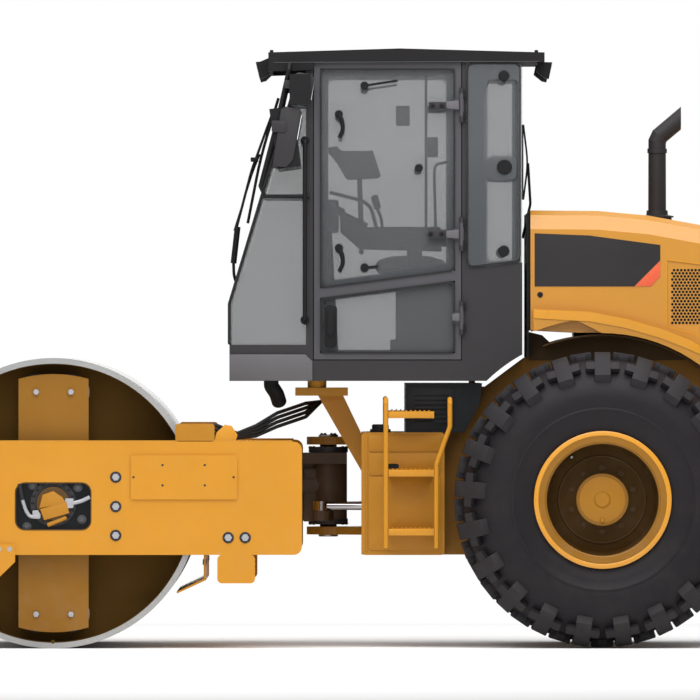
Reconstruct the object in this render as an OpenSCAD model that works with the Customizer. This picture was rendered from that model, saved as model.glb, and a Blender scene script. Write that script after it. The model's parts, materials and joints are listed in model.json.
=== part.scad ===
// Vibratory soil compactor with one smooth drum, an articulated hitch, a closed cab and a rear engine.
// The drum end is -X, the machine's left side is -Y and the floor is Z = 0.

/* [Machine] */
// Distance from the drum's axle to the wheels' axle
wheelbase = 2900; // [2880:5:2920]
// Front end of the frame ahead of the drum
front_gap = 206; // [200:1:215]
// Wheels' axle to the rear end
rear_overhang = 1987; // [1960:1:2020]

/* [Drum] */
// Outer diameter of the drum
drum_d = 1534; // [1500:2:1540]
// Width of the drum
drum_w = 2134; // [2100:2:2140]
// Thickness of the rolled shell
shell_t = 30; // [20:1:40]
// Setback of the drum heads from the shell's ends
head_setback = 187; // [180:1:200]
// Thickness of a drum head
head_t = 30; // [20:1:40]
// Width of a drive plate
drive_plate_w = 370; // [360:2:380]
// Distance from the shell's inside to a drive plate's end
drive_plate_gap = 55; // [50:1:65]
// Thickness of a drive plate
drive_plate_t = 30; // [20:1:34]
// Radius of a rubber mount
rubber_r = 90; // [80:1:92]

/* [Front frame] */
// Gap from the drum's end to the side plate
side_gap = 43; // [40:1:50]
// Thickness of a side plate
plate_t = 30; // [20:1:36]
// Distance from the drum's axle down to the side plates' lower edge
plate_drop = 272; // [268:1:280]
// Distance from the drum's axle up to the side plates' upper edge
plate_rise = 325; // [318:1:332]
// Rear end of the side plates, ahead of the hitch axis
plate_to_hitch = 138; // [130:1:150]
// Corner radius of the side plates
plate_corner = 42; // [20:1:60]
// Length of the window in the side plates
window_w = 400; // [380:2:420]
// Height of the window in the side plates
window_h = 250; // [230:2:260]
// Distance from the drum to the rear cross beam
beam_gap = 90; // [80:1:100]
// Wall thickness of the cross beams
beam_wall = 25; // [16:1:30]

/* [Hitch] */
// Height of the oscillation axis over the drum's axle
osc_rise = 85; // [80:1:90]
// Radius of the hitch casting
casting_r = 100; // [90:1:105]
// Radius of the upright pins
hitch_pin_r = 45; // [35:1:50]
// Radius of the oscillation shaft
osc_shaft_r = 60; // [50:1:70]
// Radius of the rounded yoke plates
yoke_r = 115; // [110:1:125]
// Thickness of a yoke plate
yoke_t = 42; // [36:1:46]
// Distance from the oscillation axis to the outer faces of the yoke plates
yoke_reach = 261; // [258:1:264]
// Radial clearance of pins and shafts
pin_clear = 0.4; // [0.3:0.05:0.6]

/* [Steering cylinders] */
// Outer radius of a barrel
barrel_r = 48; // [44:1:52]
// Bore radius of a barrel
barrel_bore_r = 36; // [32:1:38]
// Radius of a rod
rod_r = 22; // [16:1:26]
// Length of a barrel from its pin
barrel_len = 390; // [370:2:400]
// Distance from the oscillation axis down to the cylinders' axes
steer_drop = 107; // [105:0.5:109]

/* [Wheels] */
// Outer radius of a tyre at its lugs' tips
tyre_r = 785; // [775:1:790]
// Width of a tyre
tyre_w = 586; // [570:2:590]
// Distance from the machine's middle to a tyre's middle
track_half = 840; // [835:1:845]
// Radius of the rim's bead seat
rim_seat_r = 330; // [325:1:335]
// Radius of the rim's flange
rim_flange_r = 362; // [358:1:368]
// Radius of the hub cap
hub_cap_r = 137; // [130:1:145]
// Lugs in each row of the tread
lug_count = 21; // [18:1:24]
// Height of the tread's lugs
lug_h = 42; // [36:1:46]

/* [Rear frame] */
// Distance from the oscillation axis down to the rear frame's lower edge
frame_drop = 363; // [355:1:370]
// Distance from the oscillation axis up to the rear frame's front part
frame_rise = 287; // [280:1:292]
// Thickness of the front wall
wall_t = 30; // [20:1:34]
// Distance from the hitch axis to the front wall's face
wall_dx = 177; // [170:1:185]
// Half the width over the frame's side rails
rail_y = 500; // [480:2:510]
// Thickness of the side rails
rail_t = 30; // [20:1:34]
// Half the width over the side tanks
tank_y = 700; // [680:2:710]

/* [Cab] */
// Height of the cab's underside over the wheels' axle
cab_lift = 627; // [623:1:631]
// Half the width of the cab over its doors
cab_y = 745; // [735:1:750]
// Thickness of the doors and of the cab's walls
door_t = 40; // [30:1:46]
// Thickness of the window glass
glass_t = 8; // [5:1:12]
// Thickness of the cab's floor
floor_t = 40; // [30:1:50]
// Running gap round a door
door_gap = 5; // [5:0.5:8]
// Height of the cab from its underside to the roof's
cab_h = 1690; // [1686:1:1694]
// Half the width of the roof
roof_y = 770; // [755:1:790]

/* [Hood] */
// Half the width of the hood
hood_y = 700; // [680:2:710]
// Wall thickness of the hood
hood_t = 20; // [12:1:24]
// Reach of the fender lips out of the hood's sides
lip_reach = 55; // [40:1:60]
// Gap from a tyre to the fender arch
arch_gap = 104; // [96:1:114]
// Outer radius of the exhaust pipe
pipe_r = 48; // [40:1:54]

/* [Hidden] */
$fn = 64;

// Shared places along the machine
front_overhang = drum_d/2 + front_gap;
machine_len = front_overhang + wheelbase + rear_overhang;
front_x = -machine_len/2;
rear_x = machine_len/2;
drum_x = front_x + front_overhang;
drum_z = drum_d/2;
axle_x = drum_x + wheelbase;
axle_z = tyre_r;
osc_z = drum_z + osc_rise;
plate_low = drum_z - plate_drop;
plate_top = drum_z + plate_rise;
yoke_low = osc_z - yoke_reach;
yoke_top = osc_z + yoke_reach;
steer_z = osc_z - steer_drop;
frame_low = osc_z - frame_drop;
frame_top = osc_z + frame_rise;
engine_low = axle_z + 250;
arch_r = tyre_r + arch_gap;
cab_low = axle_z + cab_lift;
roof_low = cab_low + cab_h;
belt_z = cab_low + 192;
rear_sill_z = cab_low + 628;
hood_low = cab_low - 12;
counter_top = hood_low - 70;
counter_low = axle_z - 165;
rail_top = cab_low + 122;
hitch_x = drum_x + wheelbase/2;
wall_x = hitch_x + wall_dx;

// Shared places of the front frame
plate_y = drum_w/2 + side_gap;
plate_out = plate_y + plate_t;
plate_rear_x = hitch_x - plate_to_hitch;
beam_rear_x = hitch_x - 293;
beam_len = beam_rear_x - drum_x - drum_d/2 - beam_gap;
drive_plate_h = drum_d - 2*shell_t - 2*drive_plate_gap;
rubber_dx = drive_plate_w/2 - rubber_r - 2;
rubber_dz = drive_plate_h/2 - rubber_r + 1;
hub_r = 140;
cover_t = 10;
hose_r = 10;
window_z = drum_z - 16;
head_y = drum_w/2 - head_setback;
drive_y = drum_w/2 - 67;
motor_gap = 5;

// Hitch arms and steering cylinder pins, as places in plan
arm_dx = 40;
arm_y = 200;
barrel_pin_x = wall_x + 450;
barrel_pin_y = 310;
steer_dx = hitch_x - arm_dx - barrel_pin_x;
steer_dy = barrel_pin_y - arm_y;
steer_len = sqrt(steer_dx*steer_dx + steer_dy*steer_dy);
steer_turn = atan2(steer_dy, steer_dx);
eye_r = 42;
eye_h = 50;

// Cab places
cab_front_x = hitch_x - 523;
cab_rear_x = hitch_x + 1029;
door_x0 = hitch_x - 75;
door_x1 = hitch_x + 705;
door_low = cab_low + 114;
door_top = roof_low - 2;
door_mid = cab_low + 556;
pillar_x0 = door_x0 - 42;
brow_z = cab_low + 408;
screen_top_x = hitch_x - 134;
skin_y = cab_y - door_t;
roof_x0 = hitch_x - 317;
roof_x1 = hitch_x + 1147;
hinge_heights = [cab_low + 334, cab_low + 778, cab_low + 1463];
seat_z = cab_low + 548;
knuckle_h = 60;
knuckle_y = cab_y + 15;

// Hood places
hood_x0 = cab_rear_x + 44;
hood_x1 = rear_x - 60;
hinge_x = hood_x1 - 60;
hinge_z = hood_low + 20;
hinge_pin_r = 15;
hinge_y = 600;

// Colours by finish
machine_yellow = [0.85, 0.59, 0.18];
cab_grey = [0.24, 0.235, 0.25];
dark_iron = [0.25, 0.2, 0.13];
steel_grey = [0.62, 0.62, 0.62];
rubber_black = [0.12, 0.12, 0.125];
pane_tint = [0.55, 0.6, 0.6, 0.5];
seat_black = [0.15, 0.15, 0.16];

function arc(cx, cy, r, a0, a1, n = 8) =
  [for (i = [0:n]) let (a = a0 + (a1 - a0)*i/n) [cx + r*cos(a), cy + r*sin(a)]];
function round_box(x0, x1, y0, y1, r, n = 6) = concat(
  arc(x1 - r, y1 - r, r, 0, 90, n), arc(x0 + r, y1 - r, r, 90, 180, n),
  arc(x0 + r, y0 + r, r, 180, 270, n), arc(x1 - r, y0 + r, r, 270, 360, n));
function sill_z(x) = rear_sill_z - 38*(cab_rear_x - x)/(cab_rear_x - door_x1 - door_gap);

// Place ahead of the axle at height z, at a gap outside the tyres
function ahead_of_tyre(z, gap) = axle_x - sqrt(pow(tyre_r + gap, 2) - pow(z - axle_z, 2));
function unit(v) = v/norm(v);
function path_dir(p, i) = let (n = len(p) - 1)
  i == 0 ? unit(p[1] - p[0]) : i == n ? unit(p[n] - p[n - 1])
  : unit(unit(p[i] - p[i - 1]) + unit(p[i + 1] - p[i]));
function ring(p, i, r, up, k) = let (d = path_dir(p, i), s = unit(cross(d, up)), u = cross(s, d))
  [for (j = [0:k - 1]) let (a = 360*j/k) p[i] + r*(cos(a)*s + sin(a)*u)];

// Box given by its low and high places on each axis
module slab(x0, x1, y0, y1, z0, z1) translate([x0, y0, z0]) cube([x1 - x0, y1 - y0, z1 - z0]);

// The same thing on the left and the right
module both_sides() {
  children();
  mirror([0, 1, 0]) children();
}

// Outline in X and Z, as a plate from y0 to y1
module profile(outline, y0, y1)
  translate([0, y1, 0]) rotate([90, 0, 0]) linear_extrude(y1 - y0) polygon(outline);

// Outline in X and Y, as a plate from z0 to z1
module plan(outline, z0, z1) translate([0, 0, z0]) linear_extrude(z1 - z0) polygon(outline);

// Round bar along Y from y0 to y1
module bar_y(x, z, r, y0, y1) translate([x, y1, z]) rotate([90, 0, 0]) cylinder(r = r, h = y1 - y0);

// Round bar along X from x0 to x1
module bar_x(y, z, r, x0, x1) translate([x0, y, z]) rotate([0, 90, 0]) cylinder(r = r, h = x1 - x0);

// Round tube swept along a path; up is any direction that the path never follows
module swept(path, r, up = [0, 1, 0], k = 8) {
  n = len(path);
  rings = [for (i = [0:n - 1]) each ring(path, i, r, up, k)];
  walls = [for (i = [0:n - 2], j = [0:k - 1]) let (a = i*k + j, b = i*k + (j + 1)%k)
    each [[a, b, b + k], [a, b + k, a + k]]];
  ends = [[for (j = [k - 1:-1:0]) j], [for (j = [0:k - 1]) (n - 1)*k + j]];
  polyhedron(points = rings, faces = concat(walls, ends));
}

// Place on a circle round the drum's axis, at a gap from the drum
function on_drum(a, gap) = [drum_x + (drum_d/2 + gap)*cos(a), drum_z + (drum_d/2 + gap)*sin(a)];

// Outline revolved about the wheels' or the drum's axis; points are [radius, distance from the middle]
module turned(x, z, outline) translate([x, 0, z]) rotate([-90, 0, 0]) rotate_extrude() polygon(outline);

module drum_shell() color(steel_grey) {
  r = drum_d/2;
  bore = r - shell_t;
  end = head_y + 20;
  inside = head_y - head_t;
  difference() {
    turned(drum_x, drum_z, [[0, -end], [hub_r, -end], [hub_r, -head_y], [bore, -head_y],
      [bore, -drum_w/2], [r, -drum_w/2], [r, drum_w/2], [bore, drum_w/2], [bore, head_y], [hub_r, head_y],
      [hub_r, end], [0, end]]);
    turned(drum_x, drum_z, [[hub_r, -inside], [bore, -inside], [bore, inside], [hub_r, inside]]);
  }
}

module drive_plates() color(machine_yellow) both_sides() {
  w = drive_plate_w/2;
  h = drive_plate_h/2;
  a = asin(w/h);
  profile(concat(arc(drum_x, drum_z, h, 90 - a, 90 + a), arc(drum_x, drum_z, h, 270 - a, 270 + a)),
    drive_y, drive_y + drive_plate_t);
  bar_y(drum_x, drum_z, 110, drive_y + drive_plate_t, drive_y + drive_plate_t + 6);
  bar_y(drum_x, drum_z, osc_shaft_r, drive_y + drive_plate_t + 6, plate_y - 27);
}

module rubber_mounts() color(rubber_black) both_sides()
  for (sx = [-1, 1], sz = [-1, 1])
    bar_y(drum_x + sx*rubber_dx, drum_z + sz*rubber_dz, rubber_r, head_y, drive_y);

module side_plates() color(machine_yellow) both_sides() {
  difference() {
    profile(round_box(front_x, plate_rear_x, plate_low, plate_top, plate_corner), plate_y, plate_out);
    profile(round_box(drum_x - window_w/2, drum_x + window_w/2, window_z - window_h/2,
      window_z + window_h/2, 50), plate_y - 1, plate_out + 1);
  }
  profile(round_box(hitch_x - 584, hitch_x - 385, plate_low - 150, plate_low, 24), plate_y, plate_out);
  profile(round_box(hitch_x - 1040, hitch_x - 479, plate_top - 304, plate_top - 71, 12),
    plate_out, plate_out + cover_t);
}

// Hollow cross beam between the side plates
module beam(x0, x1, z0, z1) difference() {
  slab(x0, x1, -plate_y, plate_y, z0, z1);
  slab(x0 + beam_wall, x1 - beam_wall, -plate_y - 1, plate_y + 1, z0 + beam_wall, z1 - beam_wall);
}

module front_beam() color(machine_yellow) beam(front_x + 20, front_x + 140, plate_low + 65, plate_top - 62);

module rear_beam() color(machine_yellow) difference() {
  union() {
    beam(beam_rear_x - beam_len, beam_rear_x, plate_low + 15, plate_top - 12);
    bar_x(0, osc_z, 150, beam_rear_x - 1, plate_rear_x - 0.5);
  }
  bar_x(0, osc_z, osc_shaft_r + pin_clear, beam_rear_x - 60, plate_rear_x + 1);
}

module drum_motors() both_sides() color(machine_yellow) difference() {
  union() {
    bar_y(drum_x, drum_z, 260, plate_y - 25, plate_y);
    bar_y(drum_x, drum_z, 150, drive_y + drive_plate_t + 6 + motor_gap, plate_y - 25);
    bar_y(drum_x, drum_z, 88, plate_y, plate_out);
  }
  bar_y(drum_x, drum_z, osc_shaft_r + pin_clear, drive_y + drive_plate_t, plate_y - 26);
}

module rear_scraper() color(machine_yellow) {
  z = plate_low + 15;
  x = beam_rear_x - beam_len;
  profile([[x + 60, z], [x - 64, z], [x - 64, z - 143], on_drum(-35.9, 34), on_drum(-36.2, 42),
    [x - 52, z - 150], [x - 52, z - 16], [x + 60, z - 16]], -drum_w/2 + 60, drum_w/2 - 60);
}

module front_scraper() color(machine_yellow) {
  z = plate_low - 135;
  x0 = front_x + 170;
  both_sides() profile([[drum_x - 201, z + 193], [drum_x - 201, z + 98], [drum_x - 302, z], [x0, z],
    [x0, z + 100], [drum_x - 560, z + 193]], plate_out, plate_out + cover_t);
  slab(x0, x0 + 40, -plate_out, plate_out, z + 20, z + 90);
}

module hose_guards() color(machine_yellow) both_sides() {
  x = beam_rear_x - beam_len;
  profile(round_box(x - 212, x - 6, plate_top, plate_top + 95, 16), plate_y, plate_out);
}

module tie_down_front() color(machine_yellow) both_sides() difference() {
  profile(round_box(front_x + 30, front_x + 150, plate_low - 105, plate_low, 30), plate_y, plate_out);
  bar_y(front_x + 90, plate_low - 50, 30, plate_y - 1, plate_out + 1);
}

module hitch_casting() color(dark_iron) {
  low = yoke_low + yoke_t + 12;
  high = yoke_top - yoke_t - 12;
  translate([hitch_x, 0, low]) cylinder(r = casting_r, h = high - low);
  for (z = [low, high - 16]) translate([hitch_x, 0, z]) cylinder(r = casting_r - 8, h = 16);
  slab(plate_rear_x + 0.5, hitch_x, -128, 128, osc_z + 116, osc_z + 176);
  slab(hitch_x - 1, hitch_x + 96, 60, 128, osc_z + 116, osc_z + 176);
  slab(hitch_x - 1, hitch_x + 96, -128, -60, osc_z + 116, osc_z + 176);
  translate([hitch_x, 0, yoke_low]) cylinder(r = hitch_pin_r, h = yoke_top - yoke_low);
  bar_x(0, osc_z, 86, plate_rear_x, hitch_x);
  both_sides() slab(plate_rear_x + 0.5, hitch_x - 40, 20, 60, low + 20, osc_z + 117);
  bar_x(0, osc_z, osc_shaft_r, beam_rear_x - 40, hitch_x);
  both_sides() plan(concat([[hitch_x + 40, 40], [hitch_x - 80, 40], [hitch_x - arm_dx - 46, arm_y - 10]],
    arc(hitch_x - arm_dx, arm_y, 48, 180, 0, 8)), low + 20, steer_z - eye_h/2 - 0.5);
}

module rear_frame() color(machine_yellow) difference() {
  union() {
    slab(wall_x, wall_x + wall_t, -rail_y, rail_y, frame_low, frame_top);
    both_sides() profile([[wall_x + 1, frame_low], [wall_x + 690, frame_low], [axle_x - 303, axle_z + 130],
      [axle_x + 303, axle_z + 130], [axle_x + 557, axle_z - 95], [rear_x - 370, axle_z - 95],
      [rear_x - 370, counter_top + 10], [rear_x - 640, rail_top], [cab_rear_x + 18, rail_top],
      [wall_x + 663, cab_low - 32], [wall_x + 510, cab_low - 32], [wall_x + 510, frame_top],
      [wall_x + 1, frame_top]], rail_y - rail_t, rail_y);
    for (z = [yoke_low, yoke_top - yoke_t])
      plan(concat([[wall_x + 1, -230], [wall_x + 1, 230], [hitch_x + 40, yoke_r]],
        arc(hitch_x, 0, yoke_r, 90, 270, 16), [[hitch_x + 40, -yoke_r]]), z, z + yoke_t);
    slab(barrel_pin_x - 70, barrel_pin_x + 70, -rail_y + 1, rail_y - 1, steer_z - 100,
      steer_z - eye_h/2 - 25);
    for (x = [axle_x - 363, axle_x - 120, axle_x + 600, rear_x - 530])
      slab(x, x + 60, -rail_y + 1, rail_y - 1, engine_low - 40, engine_low);
  }
  translate([hitch_x, 0, yoke_low - 1]) cylinder(r = hitch_pin_r + pin_clear, h = yoke_top - yoke_low + 2);
  both_sides() slab(wall_x - 1, wall_x + wall_t + 1, 170, 320, steer_z - 75, steer_z + 75);
}

module rear_axle() color(dark_iron) {
  bar_y(axle_x, axle_z, 95, -640, 640);
  translate([axle_x, 0, axle_z]) rotate([0, 90, 0]) cylinder(r = 200, h = 330, center = true);
  both_sides() {
    slab(axle_x - 80, axle_x + 80, 440, 520, axle_z, axle_z + 130);
    bar_y(axle_x, axle_z, osc_shaft_r, 640, 700);
  }
}

module side_tanks() color(machine_yellow) both_sides()
  profile(round_box(wall_x, axle_x - tyre_r - 48, frame_low, frame_top, 20), rail_y, tank_y);

module battery_boxes() color(rubber_black) both_sides()
  profile([[hitch_x + 407, frame_top], [ahead_of_tyre(frame_top, 25), frame_top],
    [ahead_of_tyre(cab_low - 122, 25) - 12, cab_low - 122], [ahead_of_tyre(cab_low - 122, 25), cab_low - 12],
    [hitch_x + 407, cab_low - 12]], rail_y, tank_y);

module cab_mast() color(machine_yellow) {
  top_x0 = hitch_x - 175;
  top_x1 = hitch_x + 105;
  top_z = cab_low - 79;
  slab(top_x0, top_x1, -450, 450, top_z, top_z + 42);
  both_sides() {
    profile([[wall_x, frame_top - 208], [wall_x, frame_top - 10], [hitch_x + 79, top_z],
      [hitch_x - 54, top_z]], 240, 300);
    translate([hitch_x - 60, 390, top_z + 42]) cylinder(r = 50, h = 37);
    translate([wall_x + 590, rail_y - rail_t/2, cab_low - 32]) cylinder(r = 14, h = 32);
  }
}

module ladders() color(machine_yellow) both_sides() {
  y = tank_y + 130;
  x0 = hitch_x + 306;
  x1 = axle_x - tyre_r - 91;
  top = cab_low - 97;
  foot = frame_low + 38;
  swept([[x0, y, foot], [x0, y, top - 25], [x0, y - 30, top], [x0, tank_y, top]], 13, [1, 0, 0]);
  swept([[x1, y, foot], [x1, y, frame_top - 169], [x1 + 71, y, frame_top + 30], [x1 + 71, y, top - 25],
    [x1 + 71, y - 30, top], [x1 + 71, tank_y, top]], 13, [0.7, 0.1, 0]);
  for (z = [frame_low + 123, frame_top - 215, cab_low - 179])
    slab(x0 + 13, x1 - 13, tank_y, y + 10, z - 18, z + 18);
}

// Cab's shell below the glass, cut away round the wheels' axle
module cab_base() color(cab_grey) {
  inner_x = cab_rear_x - 30;
  difference() {
    profile([[cab_front_x, cab_low], [cab_rear_x, cab_low], [cab_rear_x, rear_sill_z],
      [door_x1 + door_gap, sill_z(door_x1 + door_gap)], [door_x1 + door_gap, belt_z + 36],
      [door_x0 - door_gap, belt_z], [cab_front_x, belt_z]], -cab_y, cab_y);
    bar_y(axle_x, axle_z, arch_r - 14, -cab_y - 1, cab_y + 1);
    difference() {
      slab(cab_front_x + 30, inner_x, -skin_y, skin_y, cab_low + floor_t, rear_sill_z + 20);
      bar_y(axle_x, axle_z, arch_r + 20, -cab_y, cab_y);
    }
    both_sides()
      slab(door_x0 - door_gap, door_x1 + door_gap, skin_y - 1, cab_y + 1, door_low - door_gap,
        rear_sill_z + 60);
  }
  both_sides() fixed_knuckles([hinge_heights[0]]);
}

// Knuckles of the door hinges on the fixed side, below and above each height
module fixed_knuckles(heights) for (z = heights, end = [-1, 1]) {
  z0 = end > 0 ? z + knuckle_h + 0.3 : z - knuckle_h - 30.3;
  translate([door_x1 + 3, knuckle_y, z0]) cylinder(r = 12, h = 30);
  slab(door_x1 + door_gap + 2, door_x1 + 22, cab_y - 1, cab_y + 14, z0, z0 + 30);
}

module cab_posts() color(cab_grey) {
  both_sides() {
    profile([[door_x1 + door_gap, sill_z(door_x1 + door_gap)], [door_x1 + 25, sill_z(door_x1 + 25)],
      [door_x1 + 25, roof_low], [door_x1 + door_gap, roof_low]], skin_y, cab_y);
    fixed_knuckles([hinge_heights[1], hinge_heights[2]]);
    slab(pillar_x0, door_x0 - door_gap, skin_y, cab_y, belt_z, roof_low);
    slab(pillar_x0, door_x0 - door_gap, skin_y - 60, skin_y, cab_low + 88, roof_low);
    profile([[door_x1 + 25, sill_z(door_x1 + 25)], [door_x1 + 130, sill_z(door_x1 + 130)],
      [door_x1 + 130, roof_low - 822], [door_x1 + 135, roof_low - 682], [door_x1 + 115, roof_low - 542],
      [door_x1 + 118, roof_low - 202], [door_x1 + 180, roof_low], [door_x1 + 25, roof_low]],
      skin_y, cab_y - 12);
    slab(cab_rear_x - 40, cab_rear_x - glass_t, skin_y, cab_y - 12, rear_sill_z, roof_low);
  }
  slab(pillar_x0, door_x0 - door_gap, -skin_y + 60, skin_y - 60, roof_low - 80, roof_low);
  slab(cab_rear_x - 40, cab_rear_x - glass_t, -skin_y, skin_y, roof_low - 80, roof_low);
}

module cab_roof() color(cab_grey) {
  x0 = roof_x0;
  x1 = roof_x1;
  difference() {
    profile([[x0, roof_low - 50], [x0 + 240, roof_low - 42], [x0 + 240, roof_low], [x1, roof_low],
      [x1, roof_low + 51], [hitch_x + 380, roof_low + 72], [x0, roof_low + 51]], -roof_y, roof_y);
    slab(x0 + 20, pillar_x0 - 40, -skin_y - 20, skin_y + 20, roof_low - 60, roof_low);
    both_sides() slab(pillar_x0 - 41, x0 + 241, skin_y - 61, roof_y - 12, roof_low - 60, roof_low);
    slab(pillar_x0 - 41, x0 + 241, -skin_y + 60, skin_y - 60, roof_low - 60, roof_low);
  }
}

module windscreen() color(pane_tint) {
  y = cab_y - 14;
  profile([[cab_front_x, belt_z], [cab_front_x, brow_z], [screen_top_x - 20, roof_low - 56],
    [screen_top_x - 20 + 2*glass_t, roof_low - 56], [cab_front_x + glass_t, brow_z - 4],
    [cab_front_x + glass_t, belt_z]], -y, y);
}

module cab_glass() color(pane_tint) {
  both_sides() {
    profile([[cab_front_x + glass_t + 0.2, belt_z], [cab_front_x + glass_t + 0.2, brow_z - 4],
      [screen_top_x - 5, roof_low - 60], [pillar_x0, roof_low - 60], [pillar_x0, belt_z]],
      cab_y - 14 - glass_t, cab_y - 14);
    profile([[door_x1 + 25, sill_z(door_x1 + 25)], [cab_rear_x, rear_sill_z], [cab_rear_x, roof_low],
      [door_x1 + 25, roof_low]], cab_y - 12, cab_y - 12 + glass_t);
  }
  slab(cab_rear_x - glass_t, cab_rear_x, -cab_y + 12, cab_y - 12, rear_sill_z, roof_low);
}

module door_frame() {
  band = 32;
  mid_front = door_mid + 72;
  x0 = door_x0;
  x1 = door_x1;
  difference() {
    slab(x0, x1, skin_y, cab_y, door_low, door_top);
    profile([[x0 + band, door_low + band], [x1 - band, door_low + band], [x1 - band, door_mid - 24],
      [x0 + band, mid_front - 188]], skin_y - 1, cab_y + 1);
    profile([[x0 + band, mid_front - 138], [x1 - band, door_mid + 26], [x1 - band, door_top - band],
      [x0 + band, door_top - band]], skin_y - 1, cab_y + 1);
  }
  for (z = hinge_heights) {
    translate([x1 + 3, knuckle_y, z - knuckle_h]) cylinder(r = 12, h = 2*knuckle_h);
    slab(x1 - 40, x1 - 2, cab_y, cab_y + 14, z - 30, z + 30);
  }
}

module door_panes() {
  band = 32;
  x0 = door_x0 + band;
  x1 = door_x1 - band;
  profile([[x0, door_low + band], [x1, door_low + band], [x1, door_mid - 24], [x0, door_mid - 116]],
    cab_y - 20 - glass_t, cab_y - 20);
  profile([[x0, door_mid - 66], [x1, door_mid + 26], [x1, door_top - band], [x0, door_top - band]],
    cab_y - 20 - glass_t, cab_y - 20);
}

module seat_base() color(seat_black) {
  floor_z = cab_low + floor_t;
  difference() {
    union() {
      slab(hitch_x + 330, hitch_x + 690, -220, 220, floor_z, floor_z + 180);
      slab(hitch_x + 360, hitch_x + 660, -190, 190, floor_z + 179, seat_z);
    }
    bar_y(axle_x, axle_z, arch_r + 20.3, -cab_y, cab_y);
  }
}

module seat_pads() color(seat_black) {
  profile(round_box(hitch_x + 250, hitch_x + 630, seat_z + 0.3, seat_z + 120, 40), -250, 250);
  profile(concat([[hitch_x + 630.3, seat_z + 30], [hitch_x + 700, seat_z + 30]],
    arc(hitch_x + 735, seat_z + 500, 45, -10, 170, 6), [[hitch_x + 630.3, seat_z + 80]]), -240, 240);
}

module console() color(seat_black) {
  floor_z = cab_low + floor_t;
  column_z = cab_low + 788;
  arm_z = cab_low + 718;
  profile([[hitch_x - 60, floor_z], [hitch_x + 60, floor_z], [hitch_x + 20, column_z],
    [hitch_x - 60, column_z]], -90, 90);
  translate([hitch_x - 20, 0, column_z]) rotate([0, 25, 0]) {
    cylinder(r = 26, h = 138);
    translate([0, 0, 120]) difference() {
      cylinder(r = 190, h = 26);
      translate([0, 0, -1]) cylinder(r = 164, h = 28);
    }
    for (a = [0, 120, 240]) rotate([0, 0, a]) translate([0, -14, 122]) cube([168, 28, 16]);
  }
  both_sides() slab(hitch_x + 250, hitch_x + 630, 262, 340, arm_z, arm_z + 70);
  both_sides() slab(hitch_x + 420, hitch_x + 500, 262, 340, floor_z, arm_z);
}

module mirrors() color(rubber_black) both_sides() {
  y = cab_y + 90;
  z = roof_low - 712;
  swept([[hitch_x - 205, roof_y + 0.2, roof_low - 15], [hitch_x - 205, y - 20, roof_low - 15],
    [hitch_x - 208, y, roof_low - 44], [hitch_x - 262, y, z + 425], [hitch_x - 358, y, z + 55],
    [hitch_x - 335, y, z], [pillar_x0 + 10, cab_y + 50, z], [pillar_x0 + 10, cab_y + 0.2, z]],
    12, [0.7, 0.1, 0.7]);
  slab(hitch_x - 204, hitch_x - 90, y - 5, y + 45, z + 486, z + 646);
  translate([hitch_x - 240, y, z + 310]) rotate([0, -8, 0]) slab(-50, 75, -50, 10, -160, 160);
}

module work_lights() color(rubber_black) {
  x0 = roof_x0 - 0.3;
  x1 = roof_x1 + 0.3;
  z = roof_low;
  both_sides() {
    profile([[x0 - 67, z + 2], [x0 - 42, z + 5], [x0, z + 23], [x0, z - 50.3], [x0 + 12, z - 50.3],
      [x0 - 18, z - 80], [x0 - 46, z - 87]], 490, 630);
    profile([[x1 - 34, z - 0.3], [x1, z - 0.3], [x1, z + 2], [x1 + 42, z + 1], [x1 + 24, z - 87], [x1, z - 82],
      [x1 - 44, z - 47]], 490, 630);
  }
}

module engine_block() color(dark_iron)
  slab(axle_x - 143, axle_x + 857, -330, 330, engine_low + 0.3, hood_low + 350);

module radiator() color(rubber_black)
  slab(rear_x - 560, rear_x - 440, -420, 420, engine_low + 0.3, hood_low + 400);

module fire_wall() color(rubber_black)
  slab(hood_x0 - 20, hood_x0 - 8, -hood_y + 12, hood_y - 12, rail_top + 0.3, hood_low + 900);

// Cast weight at the rear end, with the ears and pins that the hood turns on
module counterweight() color(machine_yellow) {
  profile([[rear_x - 370, counter_low], [rear_x - 40, counter_low], [rear_x, counter_low + 60],
    [rear_x, counter_top], [rear_x - 370, counter_top]], -620, 620);
  both_sides() {
    profile(concat([[hinge_x - 75, counter_top - 1], [hinge_x - 4, counter_top - 1]],
      arc(hinge_x, hinge_z, 27, -60, 150, 8)), hinge_y - 50, hinge_y - 20);
    bar_y(hinge_x, hinge_z, hinge_pin_r, hinge_y - 21, hinge_y + 25);
  }
}

module tie_down_rear() color(machine_yellow) both_sides() difference() {
  profile(round_box(rear_x - 320, rear_x - 200, counter_low - 120, counter_low, 30), 580, 610);
  bar_y(rear_x - 260, counter_low - 65, 30, 579, 611);
}

// Outline of a fender lip, from its lower edge round to its upper one
lip_outline = concat(arc(axle_x, axle_z, arch_r + 70, 112, 98, 3),
  arc(axle_x, axle_z, arch_r - 8, 90, 50, 10), arc(axle_x, axle_z, arch_r + 64, 53, 76, 5),
  [[axle_x - 18, hood_low + 370], [hood_x0 + 12, hood_low + 396]]);

// Side outline of the hood, set in by t at the top and the rear and lowered by drop along the top
function hood_outline(t, drop) = concat(
  [for (p = [[hood_x0 - (t > 0 ? 1 : 0), 917], [axle_x - 18, 914], [axle_x + 244, 890], [axle_x + 517, 841],
    [axle_x + 1050, 710]]) [p.x, hood_low + p.y - t - drop]],
  arc(hood_x1 - 120 - t, hood_low + 340 - drop, 120, 60, 0, 4),
  [[hood_x1 - t, hood_low - t], [hood_x0 - (t > 0 ? 1 : 0), hood_low - t]]);

// Solid form of the hood with sloping upper edges, set in by t
module hood_block(t) hull()
  for (edge = [[85, 0], [30, 25], [0, 100]])
    profile(hood_outline(t, edge.y), edge.x + t - hood_y, hood_y - t - edge.x);

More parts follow.
